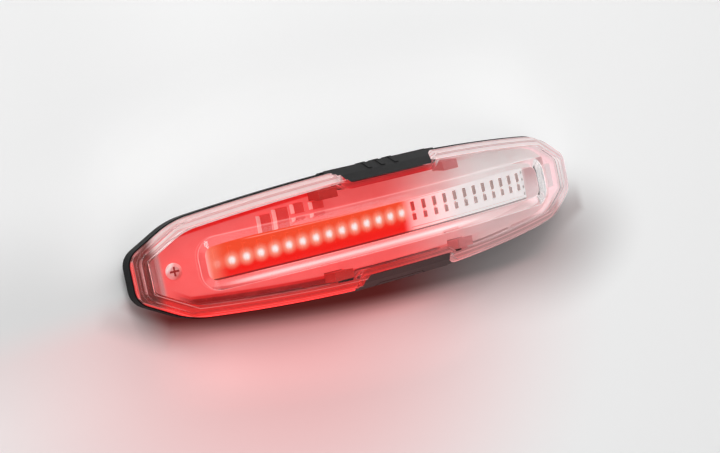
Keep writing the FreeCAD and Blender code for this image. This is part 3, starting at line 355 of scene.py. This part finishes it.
# %% [markdown]
# The world is a plain grey dome, dark straight overhead so that the clear cover does not go milky, with a
# wide soft panel behind the light and one slim bright band. The cover's window shows the band as a line
# along its lower slope. One square lamp from behind gives the soft shadow.

# %% World and lamp
DOME_OVERHEAD = 0.07
DOME_ASIDE = 0.69
PANEL = 0.35
BAND = 1.45
BAND_NORMAL = (-0.173, 0.768, -0.617)
BAND_SHIFT = 0.02
BAND_EDGE = (0.072, 0.040)

world = bpy.data.worlds.new("studio")
world.use_nodes = True
bpy.context.scene.world = world
sky = world.node_tree
facing = add(sky, "ShaderNodeTexCoord", "Generated")
to_x, to_y, to_z = [add(sky, "ShaderNodeSeparateXYZ", axis, Vector=facing) for axis in "XYZ"]
off_band = to_x * BAND_NORMAL[0] + (to_y * BAND_NORMAL[1] + to_z * BAND_NORMAL[2]) + BAND_SHIFT
band = slope(abs(off_band), *BAND_EDGE) * slope(to_y, 0.22, 0.36) * slope(to_z, 0.05, 0.15)
panel = slope(to_y, 0.30, 0.60) * slope(to_z, 0.25, 0.50)
aside = larger(slope(abs(to_y + 0.06), 0.20, 0.36), slope(to_x, 0.86, 0.98))
wire(sky.nodes["Background"], Color=(1.0, 1.0, 1.0),
     Strength=DOME_OVERHEAD + aside * DOME_ASIDE + panel * PANEL + band * BAND)


def soft_lamp(name, place, target, size, power):
    """A square lamp that faces a target; places in metres, power in watts."""
    lamp = bpy.data.lights.new(name, "AREA")
    lamp.size = size
    lamp.energy = power
    holder = bpy.data.objects.new(name, lamp)
    holder.location = place
    holder.rotation_euler = (Vector(target) - Vector(place)).to_track_quat("-Z", "Y").to_euler()
    bpy.context.scene.collection.objects.link(holder)


soft_lamp("key", place=(-0.16, 0.34, 0.46), target=(0.0, 0.0, 0.0), size=0.22, power=1.3)
bpy.context.scene.view_settings.view_transform = "Standard"
print("table and lamp ready")

# %% [markdown]
# The housing is black with a fine spark-eroded grain, which a small bump and a slight change of tone show.
# Inside, its walls carry the LEDs' light as painted light, a tone and a glow: seen through the cover they
# look red at the lit half and pale at the other, with the four cover posts painted darker.

# %% Black plastic and rubber
WALL_INSIDE = (1.15, 1.45)
FLOOR_INSIDE = (3.7, 3.95)
PAD_Y = (9.25, 9.4)
PAD_X = (16.2, 15.9)
POST_Y = (7.1, 7.25)
POST_X = (13.4, 13.6, 17.8, 18.0)
LEFT_END = (-47.0, -49.5)
RIGHT_END = (42.0, 46.0)

black_plastic, tree, shader = new_material("black_plastic", (0.01, 0.01, 0.01), 0.45,
                                           Specular_IOR_Level=0.06)
x, y, z = spot_on_light(tree)
noise = grain(tree, 0.25)
bumped(shader, noise, 0.25)
by_pad = slope(abs(y), *PAD_Y) * slope(abs(x), *PAD_X)
lit_inside = slope(rim_inset(x, y), *WALL_INSIDE) * slope(z, *FLOOR_INSIDE) * (1.0 - by_pad)
red = red_share(x)
by_right_end = slope(x, *RIGHT_END)
on_post = slope(abs(y), *POST_Y) * between(abs(x), *POST_X)
# Painted light on the inner walls: red at the lit half, pale at the right end, darker on the posts.
painted_inner_light = painted(
    blend(red, (0.86, 0.70, 0.70), (0.62, 0.12, 0.12)),
    (slope(x, *LEFT_END), (0.76, 0.36, 0.36)),
    (by_right_end, (0.97, 0.82, 0.84)),
    (on_post, blend(red, (0.74, 0.40, 0.41), (0.62, 0.035, 0.03))))
black = blend(noise, (0.005, 0.005, 0.0055), (0.010, 0.010, 0.0105))
inner_glow = 0.10 + larger(by_right_end, on_post) * 0.14
wire(shader, Base_Color=blend(lit_inside, black, painted_inner_light), Emission_Color=painted_inner_light,
     Emission_Strength=lit_inside * inner_glow)
dress(black_plastic, "rear_housing")

pad_rubber, tree, shader = new_material("pad_rubber", (0.01, 0.01, 0.01), 0.5, Specular_IOR_Level=0.16)
x, y, z = spot_on_light(tree)
bumped(shader, grain(tree, 0.2), 0.3)
# Painted red light: the pads on the near side take a red tint from the glow beside the lit half.
painted_red_bounce = slope(y, 0.0, -9.0) * red_share(x, -4.0, 34.0)
tone = blend(grain(tree, 1.2), (0.006, 0.006, 0.0065), (0.011, 0.011, 0.0115))
wire(shader, Base_Color=blend(painted_red_bounce, tone, (0.050, 0.006, 0.005)))
dress(pad_rubber, "usb_cover", "button_frame", "power_button")

seal_rubber, tree, shader = new_material("seal_rubber", (0.05, 0.05, 0.05), 0.6)
wire(shader, Base_Color=blend(grain(tree, 1.0), (0.04, 0.04, 0.04), (0.06, 0.06, 0.06)))
dress(seal_rubber, "cover_seal", "battery_foam")
print("housing and pads dressed")

# %% [markdown]
# Fifteen LEDs of the strip are lit. Each is a white-hot spot in a field of orange and red, which hides the
# chips themselves; the field ends beside the first dark column. The spots are a repeated distance: X is
# folded at the pitch of the columns and combined with Y. The row of spots climbs a little, as it does in
# the photograph.

# %% The lit field
PITCH = 3.01
FIRST_SPOT = -0.25 - 13 * PITCH
SPOT_LINE = 0.27  # height of the row of spots across the strip, at SPOT_MIDDLE
SPOT_MIDDLE = -12.0
SPOT_CLIMB = 0.026
FAINT = 0.12  # strength of the first spot
HOT_WHITE = (1.0, 0.95, 0.95)
HALO_PINK = (1.0, 0.42, 0.30)
DEEP_RED = (0.10, 0.0, 0.0)


def from_column(x):
    """Millimetres along the strip from the middle of the nearest LED column."""
    steps = (x - (FIRST_SPOT - PITCH / 2)) / PITCH
    return (calc("FRACT", steps) - 0.5) * PITCH


def lit_field(x, y):
    """Colour of the lit strip: hot spots at the pitch, orange above them, red below."""
    up = y - (SPOT_LINE + (x - SPOT_MIDDLE) * SPOT_CLIMB)
    from_spot = distance(from_column(x), up)
    awake = FAINT + slope(x, FIRST_SPOT + 1.2, FIRST_SPOT + 1.8) * (1 - FAINT)
    return painted(
        blend(slope(y, -2.4, 1.6), (0.93, 0.006, 0.002), (0.93, 0.075, 0.022)),
        (slope(abs(up), 1.5, 0.2) * 0.5, (1.0, 0.17, 0.09)),
        (slope(x, FIRST_SPOT + 2.5, FIRST_SPOT - 2.0) * 0.7, (1.0, 0.27, 0.18)),
        (slope(from_spot, 2.1, 0.5) * (awake * 0.75), HALO_PINK),
        (slope(from_spot, 1.05, 0.20) * awake, HOT_WHITE))


# %% [markdown]
# Beyond the lit field the strip shows its own white, with a darker line across near its end, solder marks
# in the gap between the two dashes of each column, and fine rungs on the chips. Close to the field all of
# it is flooded with painted red light, and the white carries a weak painted glow. Its near edge lies in
# painted shade.

# %% The strip
FIELD_ENDS = (-41.9, -40.2, 2.4, 6.2)
FIELD_GLOW = 0.97
FLOODED = (21.0, 3.5)
END_LINE_X = 40.55
END_LINE_EDGE = (0.16, 0.08)
RUNG_STEP = 0.21
RUNG_EDGE = (0.05, 0.02)
MARK_ROWS = ((0.08, 0.17), (0.50, 0.14))  # place across the strip and half width of each row
MARK_HALF = 0.42
UNLIT_FROM = (1.0, 1.5)
NEAR_EDGE = (-3.16, -3.30)


def lit_strip(name, roughness, own_colour, near_colour, *names, afterglow, rung_share=0.0, mark_share=0.0):
    """A finish that glows at the lit half and shows its own colour at the other, under a weak painted
    glow.
    """
    material, tree, shader = new_material(name, own_colour, roughness)
    x, y, z = spot_on_light(tree)
    on = between(x, *FIELD_ENDS)
    # Painted red light close to the lit field.
    near = slope(x, *FLOODED)
    end_line = slope(abs(x - END_LINE_X), *END_LINE_EDGE)
    rungs = slope(calc("PINGPONG", y, RUNG_STEP), *RUNG_EDGE)
    marks = larger(*[thin_line(y, *row) for row in MARK_ROWS]) * thin_line(from_column(x), 0.0, MARK_HALF)
    # Painted shade along the strip's near edge.
    edge = slope(y, *NEAR_EDGE) * 0.85
    own = painted(
        blend(end_line, own_colour, [channel * 0.72 for channel in own_colour]),
        (rungs * rung_share, (0.92, 0.88, 0.88)),
        (marks * mark_share * slope(x, *UNLIT_FROM), (0.56, 0.38, 0.36)),
        (near, near_colour),
        (marks * near * mark_share, (0.82, 0.06, 0.055)),
        (edge, blend(red_share(x), (0.30, 0.26, 0.26), DEEP_RED)))
    field = blend(edge, lit_field(x, y), (0.12, 0.0, 0.0))
    # A weak painted glow on the unlit part, stronger where it is flooded with red.
    own_glow = (1.0 + near) * afterglow * (1.0 - on)
    wire(shader, Base_Color=blend(on, own, DEEP_RED), Emission_Color=blend(on, own, field),
         Emission_Strength=own_glow + on * FIELD_GLOW)
    dress(material, *names)
    return material


lit_strip("strip_board", 0.3, (0.92, 0.91, 0.91), (0.98, 0.33, 0.33), "led_strip",
          afterglow=0.48, mark_share=0.85)
lit_strip("led_dark", 0.35, (0.62, 0.46, 0.43), (0.80, 0.035, 0.03), "lit_led_chips", "unlit_led_chips",
          afterglow=0.12, rung_share=0.5)
lit_strip("chip_resistor", 0.4, (0.66, 0.52, 0.50), (0.80, 0.04, 0.035), "strip_resistors",
          afterglow=0.12, rung_share=0.3)

# %% [markdown]
# The board under the strip is white, but the LEDs' red light is painted over its left half, in its tone
# and in a painted glow that lies, weaker, over all of it. Its outer edge is painted shade, a deeper red,
# darkest on the near side, and its left end is painted darker. On the right, the place beyond the strip's
# end is seen through the window, in painted shade.

# %% The board
WINDOW_Y = (4.4, 4.0)
BEYOND_STRIP = (41.4, 43.4)
EDGE_BAND = (3.9, 3.5)
EDGE_DARK = (3.3, 2.9)
FAR_SIDE_SHIFT = 0.65  # the edge's band is narrower on the far side

white_board, tree, shader = new_material("white_board", (0.84, 0.80, 0.79), 0.35)
x, y, z = spot_on_light(tree)
inset = rim_inset(x, y)
red = red_share(x, -3.0, 30.0)
painted_shade_beyond_strip = slope(abs(y), *WINDOW_Y) * slope(x, *BEYOND_STRIP)
# Painted red light: the white turns pinker toward the near side; painted shade beyond the strip's end.
pale = painted(
    blend(slope(y, 3.0, -5.0), (0.93, 0.87, 0.86), (0.84, 0.60, 0.60)),
    (painted_shade_beyond_strip, blend(slope(y, 2.5, -2.5), (0.62, 0.36, 0.37), (0.88, 0.70, 0.71))))
# Painted shade along the outer edge, in deep red, darkest on the near side.
edge = slope(inset + slope(y, -2.0, 2.0) * FAR_SIDE_SHIFT, *EDGE_BAND) * slope(x, -50.0, -44.0) * red
near_edge_shade = blend(slope(inset, *EDGE_DARK), (0.62, 0.012, 0.012), (0.26, 0.0, 0.0))
edge_shade_tone = blend(slope(y, 2.0, -2.0), (0.84, 0.0, 0.0), near_edge_shade)
mottled = slope(grain(tree, 3.5, 5.0), 0.40, 0.75) * 0.35
# Painted shade at the board's left end; the glow below carries the same painted light.
painted_shade_left_end = slope(x, -49.2, -50.1)
board_tone = painted(
    blend(red, pale, (0.90, 0.125, 0.12)),
    (edge, edge_shade_tone),
    (mottled, blend(red, (0.78, 0.66, 0.66), (0.80, 0.06, 0.055))),
    (painted_shade_left_end, (0.55, 0.21, 0.21)))
board_glow = painted(
    blend(red, pale, (1.0, 0.12, 0.12)),
    (painted_shade_left_end, (0.60, 0.26, 0.26)),
    (edge, edge_shade_tone))
wire(shader, Base_Color=board_tone, Emission_Color=board_glow, Emission_Strength=0.28 + red * 0.20)
bumped(shader, grain(tree, 0.5), 0.05)
dress(white_board, "led_board")
print("strip and board dressed")

# %% [markdown]
# The cover is clear polycarbonate, and a Principled shader with full transmission bends the light through
# its real wall. Its lower face, where it is joined to the housing, is matt and carries painted light: a
# painted tone and glow for the red light that runs down inside the wall, so the rim glows red near the lit
# LEDs and is pale elsewhere. Fine painted dark lines on that face stand for the many refractions in the
# real wall.

# %% The cover's matt joint face
JOINT_LEVEL = (-3.10, -3.17)
NEAR_HALF = (3.0, -3.0)
FAR_PAD_Y = (5.0, 7.0, 9.3, 10.2)
FAR_PAD_X = (18.0, 13.5)
FAR_PAD_RED = (16.0, 9.0)
LEFT_RIM = (-50.0, -52.5)
RIGHT_RIM = (48.5, 51.5)
LINE_STEP = 0.55
LINE_EDGE = (0.10, 0.04)

clear_cover, tree, shader = new_material("clear_cover", (1.0, 0.965, 0.965), 0.015,
                                         Transmission_Weight=1.0, IOR=1.5)
x, y, z = spot_on_light(tree)
inset = rim_inset(x, y)
level = arch_level(x, z)
red = red_share(x, -8.0, 30.0)
near_half = slope(y, *NEAR_HALF)
by_far_pad = between(y, *FAR_PAD_Y) * slope(abs(x), *FAR_PAD_X)
right_rim = slope(x, *RIGHT_RIM)
lines = slope(abs(calc("PINGPONG", inset + 0.7, LINE_STEP) - 0.12), *LINE_EDGE)
# Painted light and shade on the joint face: red near the lit half, dark at the far left end, pale at the
# right end, with painted dark lines for the refractions.
matt_painted_light = painted(
    blend(red, (0.96, 0.82, 0.82), (1.0, 0.75, 0.74)),
    (near_half, blend(red, (0.78, 0.46, 0.46), (0.95, 0.035, 0.03))),
    (slope(x, *LEFT_RIM), (0.17, 0.035, 0.03)),
    (by_far_pad, blend(slope(x, *FAR_PAD_RED), (0.80, 0.42, 0.43), (0.95, 0.04, 0.045))),
    (right_rim, (1.0, 0.80, 0.82)),
    (lines * 0.55, blend(red, (0.32, 0.20, 0.20), (0.35, 0.03, 0.03))))
matt = tree.nodes.new("ShaderNodeBsdfPrincipled")
wire(matt, Roughness=0.6, Base_Color=matt_painted_light, Emission_Color=matt_painted_light,
     Emission_Strength=0.23 + larger(right_rim, 1.0 - near_half) * 0.10)
mixed = tree.nodes.new("ShaderNodeMixShader")
feed(mixed.inputs["Fac"], slope(level, *JOINT_LEVEL))
tree.links.new(shader.outputs["BSDF"], mixed.inputs[1])
tree.links.new(matt.outputs["BSDF"], mixed.inputs[2])
tree.links.new(mixed.outputs["Shader"], tree.nodes["Material Output"].inputs["Surface"])

# %% [markdown]
# The clear skin itself carries a little light as well: on the near flange beside the lit half, along the
# window's mouth and the edges of the steps, and in a soft core down the window's near slope.

# %% Light in the clear skin
MOUTH = (44.9, 5.3, 3.8)  # half length, half width and corner radius of the window at the roof
FLOOR_EDGE = -1.9  # the edge of the window's floor, from the mouth
CORE = -0.80  # the middle of the near slope, from the mouth
INNER_STEP = 1.2
ROOF_LEVEL = (-1.0, -0.3)
CORE_ENDS = (-42.5, -34.0, 6.0, 27.0)
FLANGE = (-0.35, -0.6)
FLANGE_GLOW = 0.58
GLINT_GLOW = 0.30

on_flange = slope(inset, *FLANGE) * red * slope(y, 6.5, 3.5)
from_mouth = from_slot(x, y, *MOUTH)
mouth_edge = thin_line(from_mouth, 0.0, 0.10)
window_floor_edge = thin_line(from_mouth, FLOOR_EDGE, 0.08) * slope(x, -36.0, -33.0)
inner_step = thin_line(inset, INNER_STEP, 0.09)
outer_step = thin_line(inset, 0.0, 0.08) * slope(level, -0.2, -0.05)
glint = larger(larger(mouth_edge, window_floor_edge, inner_step) * slope(level, *ROOF_LEVEL), outer_step)
core_place = slope(y, -3.0, -4.0) * slope(level, -1.6, -1.2) * between(x, *CORE_ENDS)
core = slope(abs(from_mouth - CORE), 0.65, 0.05) * core_place
skin_tone = blend(on_flange, blend(red, (1.0, 0.93, 0.93), (1.0, 0.62, 0.62)), (1.0, 0.05, 0.05))
wire(shader, Emission_Color=skin_tone,
     Emission_Strength=on_flange * FLANGE_GLOW + larger(glint, core * 1.2) * GLINT_GLOW)
dress(clear_cover, "front_cover")
print("cover dressed")

# %% [markdown]
# The screw's head has a painted highlight on one side of its dome, painted red shade on the other, painted
# shade in its cross recess and a painted glow. The board's other parts at the front carry painted red
# light and a painted glow too.

# %% Screw and capacitors at the front
SCREW_X = -47.5
SCREW_LEVEL = -4.6
RECESS_REACH = (1.08, 1.0)
RECESS_HEIGHT = (1.17, 1.10)


def plain_finish(name, low, high, roughness, size, *names, **shader_inputs):
    """A finish with a fine change of tone, of a size in mm, and a light bump."""
    material, tree, shader = new_material(name, low, roughness, **shader_inputs)
    noise = grain(tree, size)
    wire(shader, Base_Color=blend(noise, low, high))
    bumped(shader, noise, 0.1)
    dress(material, *names)
    return material


def glowing(material, colour, strength):
    """Add a painted glow for the even light that a lit part gets from the LEDs beside it."""
    wire(material.node_tree.nodes["Principled BSDF"], Emission_Color=colour, Emission_Strength=strength)


screw_finish, tree, shader = new_material("steel_screw", (0.80, 0.45, 0.43), 0.3, Metallic=0.3)
x, y, z = spot_on_light(tree)
rise = arch_level(x, z) - SCREW_LEVEL
from_axis = (x - SCREW_X + rise * 0.3) * 1.05  # along the arch, which leans here
recess = slope(distance(from_axis, y), *RECESS_REACH) * slope(rise, *RECESS_HEIGHT)
lean = (y - from_axis) * 0.45  # below 0 at the near right of the head, above 0 at the far left
# Painted highlight at the far left of the head, painted shade at the near right and in the recess.
head_painted_light = painted(
    blend(slope(lean, -0.1, -0.9), (1.0, 0.42, 0.41), (0.80, 0.16, 0.15)),
    (slope(lean, 0.35, 0.85), (1.0, 0.90, 0.89)),
    (recess, (0.50, 0.05, 0.045)))
wire(shader, Base_Color=head_painted_light, Emission_Color=head_painted_light, Emission_Strength=0.30)
dress(screw_finish, "board_screw")
# The red tone and the glow of the front capacitors are painted red light of the LEDs.
ceramic = plain_finish("ceramic", (0.78, 0.03, 0.028), (0.90, 0.07, 0.06), 0.45, 0.3, "front_capacitors")
glowing(ceramic, (0.85, 0.03, 0.03), 0.32)

# %% [markdown]
# Inside the housing are a circuit board, a pouch cell and small parts. They show only when the cover is
# off, but each still gets its own finish.

# %% Inner parts
plain_finish("green_board", (0.03, 0.17, 0.07), (0.04, 0.22, 0.09), 0.35, 0.6, "main_board")
plain_finish("ceramic_plain", (0.45, 0.33, 0.22), (0.55, 0.42, 0.30), 0.45, 0.3, "board_capacitors")
plain_finish("resistor_plain", (0.04, 0.04, 0.04), (0.07, 0.07, 0.07), 0.45, 0.3, "board_resistors")
plain_finish("led_clear", (0.62, 0.56, 0.54), (0.72, 0.66, 0.64), 0.3, 0.3, "charge_led")
plain_finish("chip_black", (0.025, 0.025, 0.027), (0.04, 0.04, 0.042), 0.5, 0.2, "charge_controller",
             "light_controller", "usb_tongue", "switch_body")
plain_finish("ferrite", (0.11, 0.11, 0.12), (0.17, 0.17, 0.18), 0.5, 0.2, "inductor")
plain_finish("battery_wrap", (0.52, 0.53, 0.56), (0.64, 0.65, 0.68), 0.3, 1.5, "battery", Metallic=0.6)
plain_finish("tin_sheet", (0.65, 0.65, 0.64), (0.76, 0.76, 0.75), 0.3, 0.8, "usb_socket", "switch_plate",
             "battery_tab_plus", "battery_tab_minus", Metallic=1.0)
plain_finish("switch_white", (0.80, 0.79, 0.76), (0.88, 0.87, 0.84), 0.5, 0.4, "switch_plunger")
gold = plain_finish("gold_pins", (0.76, 0.57, 0.22), (0.86, 0.66, 0.30), 0.25, 0.3, "link_pins",
                    Metallic=1.0)
print("inner parts dressed")

# %% [markdown]
# Solder, contacts, chip legs and tape are too fine for the solids. All of them are skins over rings: a
# closed outline is carried along a short path, worked out as one array for every copy at once, and
# neighbouring rings are joined by quads. That keeps each piece closed, with few faces.

# %% Skins over rings
def skin(name, rings, material):
    """Closed skins from points [copy, ring, corner, axis] in mm, with a face at each end of a copy."""
    copies, count, corners = rings.shape[:3]
    index = np.arange(copies * count * corners).reshape(copies, count, corners)
    turned = np.roll(index, -1, axis=2)
    sides = np.stack((index[:, :-1], turned[:, :-1], turned[:, 1:], index[:, 1:]), axis=-1).reshape(-1, 4)
    ends = np.concatenate((index[:, 0, ::-1], index[:, -1]))
    mesh = bpy.data.meshes.new(name)
    mesh.from_pydata((rings.reshape(-1, 3) * MM).tolist(), [], sides.tolist() + ends.tolist())
    shape = bmesh.new()
    shape.from_mesh(mesh)
    bmesh.ops.recalc_face_normals(shape, faces=shape.faces)
    shape.to_mesh(mesh)
    shape.free()
    mesh.materials.append(material)
    piece = bpy.data.objects.new(name, mesh)
    bpy.context.scene.collection.objects.link(piece)
    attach(piece, "light")
    print(name, len(mesh.polygons), "faces")


def arc_height(x, radius):
    """Height of an arc about the light's own arch centre: centre + sqrt(radius^2 - x^2)."""
    return ARCH_CENTRE + np.sqrt(radius ** 2 - x ** 2)


def solder_finish(name, colour, low, high, roughness, metallic):
    """Metal with a fine relief and a slight change of tone."""
    material, tree, shader = new_material(name, colour, roughness, Metallic=metallic)
    bumped(shader, grain(tree, 0.3), 0.15)
    wire(shader, Base_Color=blend(grain(tree, 0.4), low, high))
    return material


solder = solder_finish("solder", (0.75, 0.75, 0.74), (0.68, 0.68, 0.67), (0.80, 0.80, 0.79), 0.3, 0.9)
# The solder at the front gets painted red light in its tone and a painted glow.
lit_solder = solder_finish("lit_solder", (1.0, 0.55, 0.53), (0.95, 0.42, 0.40), (1.0, 0.62, 0.60),
                           0.35, 0.2)
glowing(lit_solder, (1.0, 0.40, 0.38), 0.34)

# %% [markdown]
# Each capacitor on the front board stands in two solder fillets, hollow like a ramp of sand against a
# wall. Their outline is a quarter circle seen from the side, closed behind and below, and carried across
# the width of the part.

# %% Solder fillets
BOARD_TOP = 158.4
FILLET_OUT = 0.40
FILLET_HIGH = 0.74
BEHIND = -0.06
BELOW = -0.05
# Left end, right end, near side and far side of each capacitor.
CAPACITORS = np.array(((-29.34, -27.02, 4.45, 6.75), (-25.92, -23.22, 4.50, 7.30),
                       (-21.96, -19.76, 5.50, 7.50), (-17.89, -15.41, 5.50, 7.10)))


def fillets(ends, side):
    """Fillets at one end of each part: out = r(1 - sin a), up = h(1 - cos a), closed behind and below."""
    angle = np.linspace(0.0, np.pi / 2, 7)
    out = np.concatenate((FILLET_OUT * (1 - np.sin(angle)), (BEHIND, BEHIND, FILLET_OUT)))
    up = np.concatenate((FILLET_HIGH * (1 - np.cos(angle)), (FILLET_HIGH, BELOW, BELOW)))
    across = np.array((-1.0, -0.92, 0.92, 1.0))
    low = np.array((0.5, 1.0, 1.0, 0.5))
    middle = (CAPACITORS[:, 2] + CAPACITORS[:, 3]) / 2
    half = (CAPACITORS[:, 3] - CAPACITORS[:, 2]) / 2 - 0.08
    x = np.broadcast_to(ends[:, None, None] + side * out, (len(ends), 4, len(out)))
    y = np.broadcast_to((middle[:, None] + half[:, None] * across)[:, :, None], x.shape)
    return np.stack((x, y, arc_height(x, BOARD_TOP) + up * low[:, None]), axis=-1)


skin("capacitor_solder", np.concatenate((fillets(CAPACITORS[:, 0], -1.0), fillets(CAPACITORS[:, 1], 1.0))),
     lit_solder)

# %% [markdown]
# The strip ends in four low domes of solder, and two tracks run along its unlit half. Both follow the arc
# of the strip's top.

# %% Solder and tracks of the strip
STRIP_TOP = 159.02
SINK = 0.02
SOLDER_X = 40.92
SOLDER_SIDES = (-2.3, -0.8, 0.8, 2.3)
TRACK_SIDES = (-2.7, 2.9)
TRACK_ENDS = (4.6, 40.3)
TRACK_HALF = 0.07
TRACK_HIGH = 0.03
TRACK_RINGS = 36


def domes(centres, half_x, half_y, height, radius):
    """Low domes on an arc: rings shrink as cos t while they rise as sin t."""
    rise = np.linspace(0.0, 1.45, 6)
    turn = np.linspace(0.0, 2 * np.pi, 16, endpoint=False)
    x = centres[:, 0, None, None] + half_x * np.cos(rise)[:, None] * np.cos(turn)
    y = centres[:, 1, None, None] + half_y * np.cos(rise)[:, None] * np.sin(turn)
    return np.stack((x, y, arc_height(x, radius) - SINK + height * np.sin(rise)[:, None]), axis=-1)


pads = np.array([(SOLDER_X, side) for side in SOLDER_SIDES])
skin("strip_solder", domes(pads, half_x=0.26, half_y=0.45, height=0.14, radius=STRIP_TOP),
     solder)


def tracks(sides, start, stop):
    """Flat bars along the arc at each Y: a rectangle carried along X."""
    shape = (len(sides), TRACK_RINGS, 4)
    corner_y = np.array((-1, 1, 1, -1)) * TRACK_HALF
    corner_z = np.array((-SINK, -SINK, TRACK_HIGH, TRACK_HIGH))
    x = np.broadcast_to(np.linspace(start, stop, TRACK_RINGS)[None, :, None], shape)
    y = np.broadcast_to(np.array(sides)[:, None, None] + corner_y, shape)
    return np.stack((x, y, arc_height(x, STRIP_TOP) + corner_z), axis=-1)


strip_copper = lit_strip("strip_copper", 0.3, (0.80, 0.72, 0.70), (0.90, 0.16, 0.15), afterglow=0.2)
skin("strip_tracks", tracks(TRACK_SIDES, *TRACK_ENDS), strip_copper)

# %% [markdown]
# Behind the flap, the tongue of the port carries five gold contacts. On the main board the two chips stand
# on bent legs, and amber tape holds the tabs of the cell.

# %% Contacts, legs and tape
CONTACT_SIZE = (0.16, 0.05)  # half width and half thickness
LEG_SIZE = (0.12, 0.05)
LEG_STEPS = np.array(((-0.1, 0.45), (0.10, 0.45), (0.34, 0.05), (0.70, 0.05)))  # outward, up
LEG_MARGIN = 0.3
TAPE_FROM_END = (4.6, 0.5)
TAPE_SIDE = 4.8
TAPE_LOW = -0.03
TAPE_HIGH = 0.06
TAPE_RINGS = 18
RIPPLE = 0.02
RIPPLE_TURN = 2.6  # radians for each millimetre


def box_in_mm(name):
    """Low and high corner of a node's box."""
    return [[v / MM for v in corner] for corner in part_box(name)]


def bars(places, path, half_width, half_thick):
    """Bars across X: a rectangle carried along a path of (Y, Z) points, one bar for each place in X."""
    path = np.asarray(path, dtype=float)
    corner_x = np.array((-1, 1, 1, -1)) * half_width
    corner_z = np.array((-1, -1, 1, 1)) * half_thick
    shape = (len(places), len(path), 4)
    x = np.broadcast_to(np.asarray(places)[:, None, None] + corner_x, shape)
    y = np.broadcast_to(path[None, :, 0, None], shape)
    return np.stack((x, y, np.broadcast_to(path[None, :, 1, None] + corner_z, shape)), axis=-1)


tongue_low, tongue_high = box_in_mm("usb_tongue")
root, tip, top = tongue_low[1], tongue_high[1], tongue_high[2]
contact_path = [(root + 1.0, top - 0.01), (tip - 0.7, top - 0.01), (tip - 0.35, top - 0.05)]
skin("port_contacts", bars(np.linspace(-1.3, 1.3, 5), contact_path, *CONTACT_SIZE), gold)


def chip_legs(name, node, count):
    """Gull-wing legs along both long edges of a chip: out level, down a slope, out level on the board."""
    low, high = box_in_mm(node)
    places = np.linspace(low[0] + LEG_MARGIN, high[0] - LEG_MARGIN, count)
    out, up = LEG_STEPS.T
    both = [bars(places, np.column_stack((edge + side * out, low[2] + up)), *LEG_SIZE)
            for edge, side in ((low[1], -1), (high[1], 1))]
    skin(name, np.concatenate(both), solder)


chip_legs("charge_chip_legs", "charge_controller", 4)
chip_legs("light_chip_legs", "light_controller", 4)

tape_film, tree, shader = new_material("amber_tape", (0.72, 0.36, 0.05), 0.2)
bumped(shader, grain(tree, 1.5), 0.2)
wire(shader, Base_Color=blend(grain(tree, 2.0), (0.66, 0.31, 0.04), (0.80, 0.43, 0.08)))
cell_end, _, cell_top = box_in_mm("battery")[1]
tape_start, tape_stop = [cell_end - gap for gap in TAPE_FROM_END]
along = np.linspace(tape_start, tape_stop, TAPE_RINGS)[None, :, None]
edge_y = np.array((-1, 1, 1, -1)) * TAPE_SIDE
lift = RIPPLE * np.sin(along * RIPPLE_TURN) + np.array((TAPE_LOW, TAPE_LOW, TAPE_HIGH, TAPE_HIGH))
tape = np.stack([np.broadcast_to(part, (1, TAPE_RINGS, 4)) for part in (along, edge_y, cell_top + lift)],
                axis=-1)
skin("cell_tape", tape, tape_film)
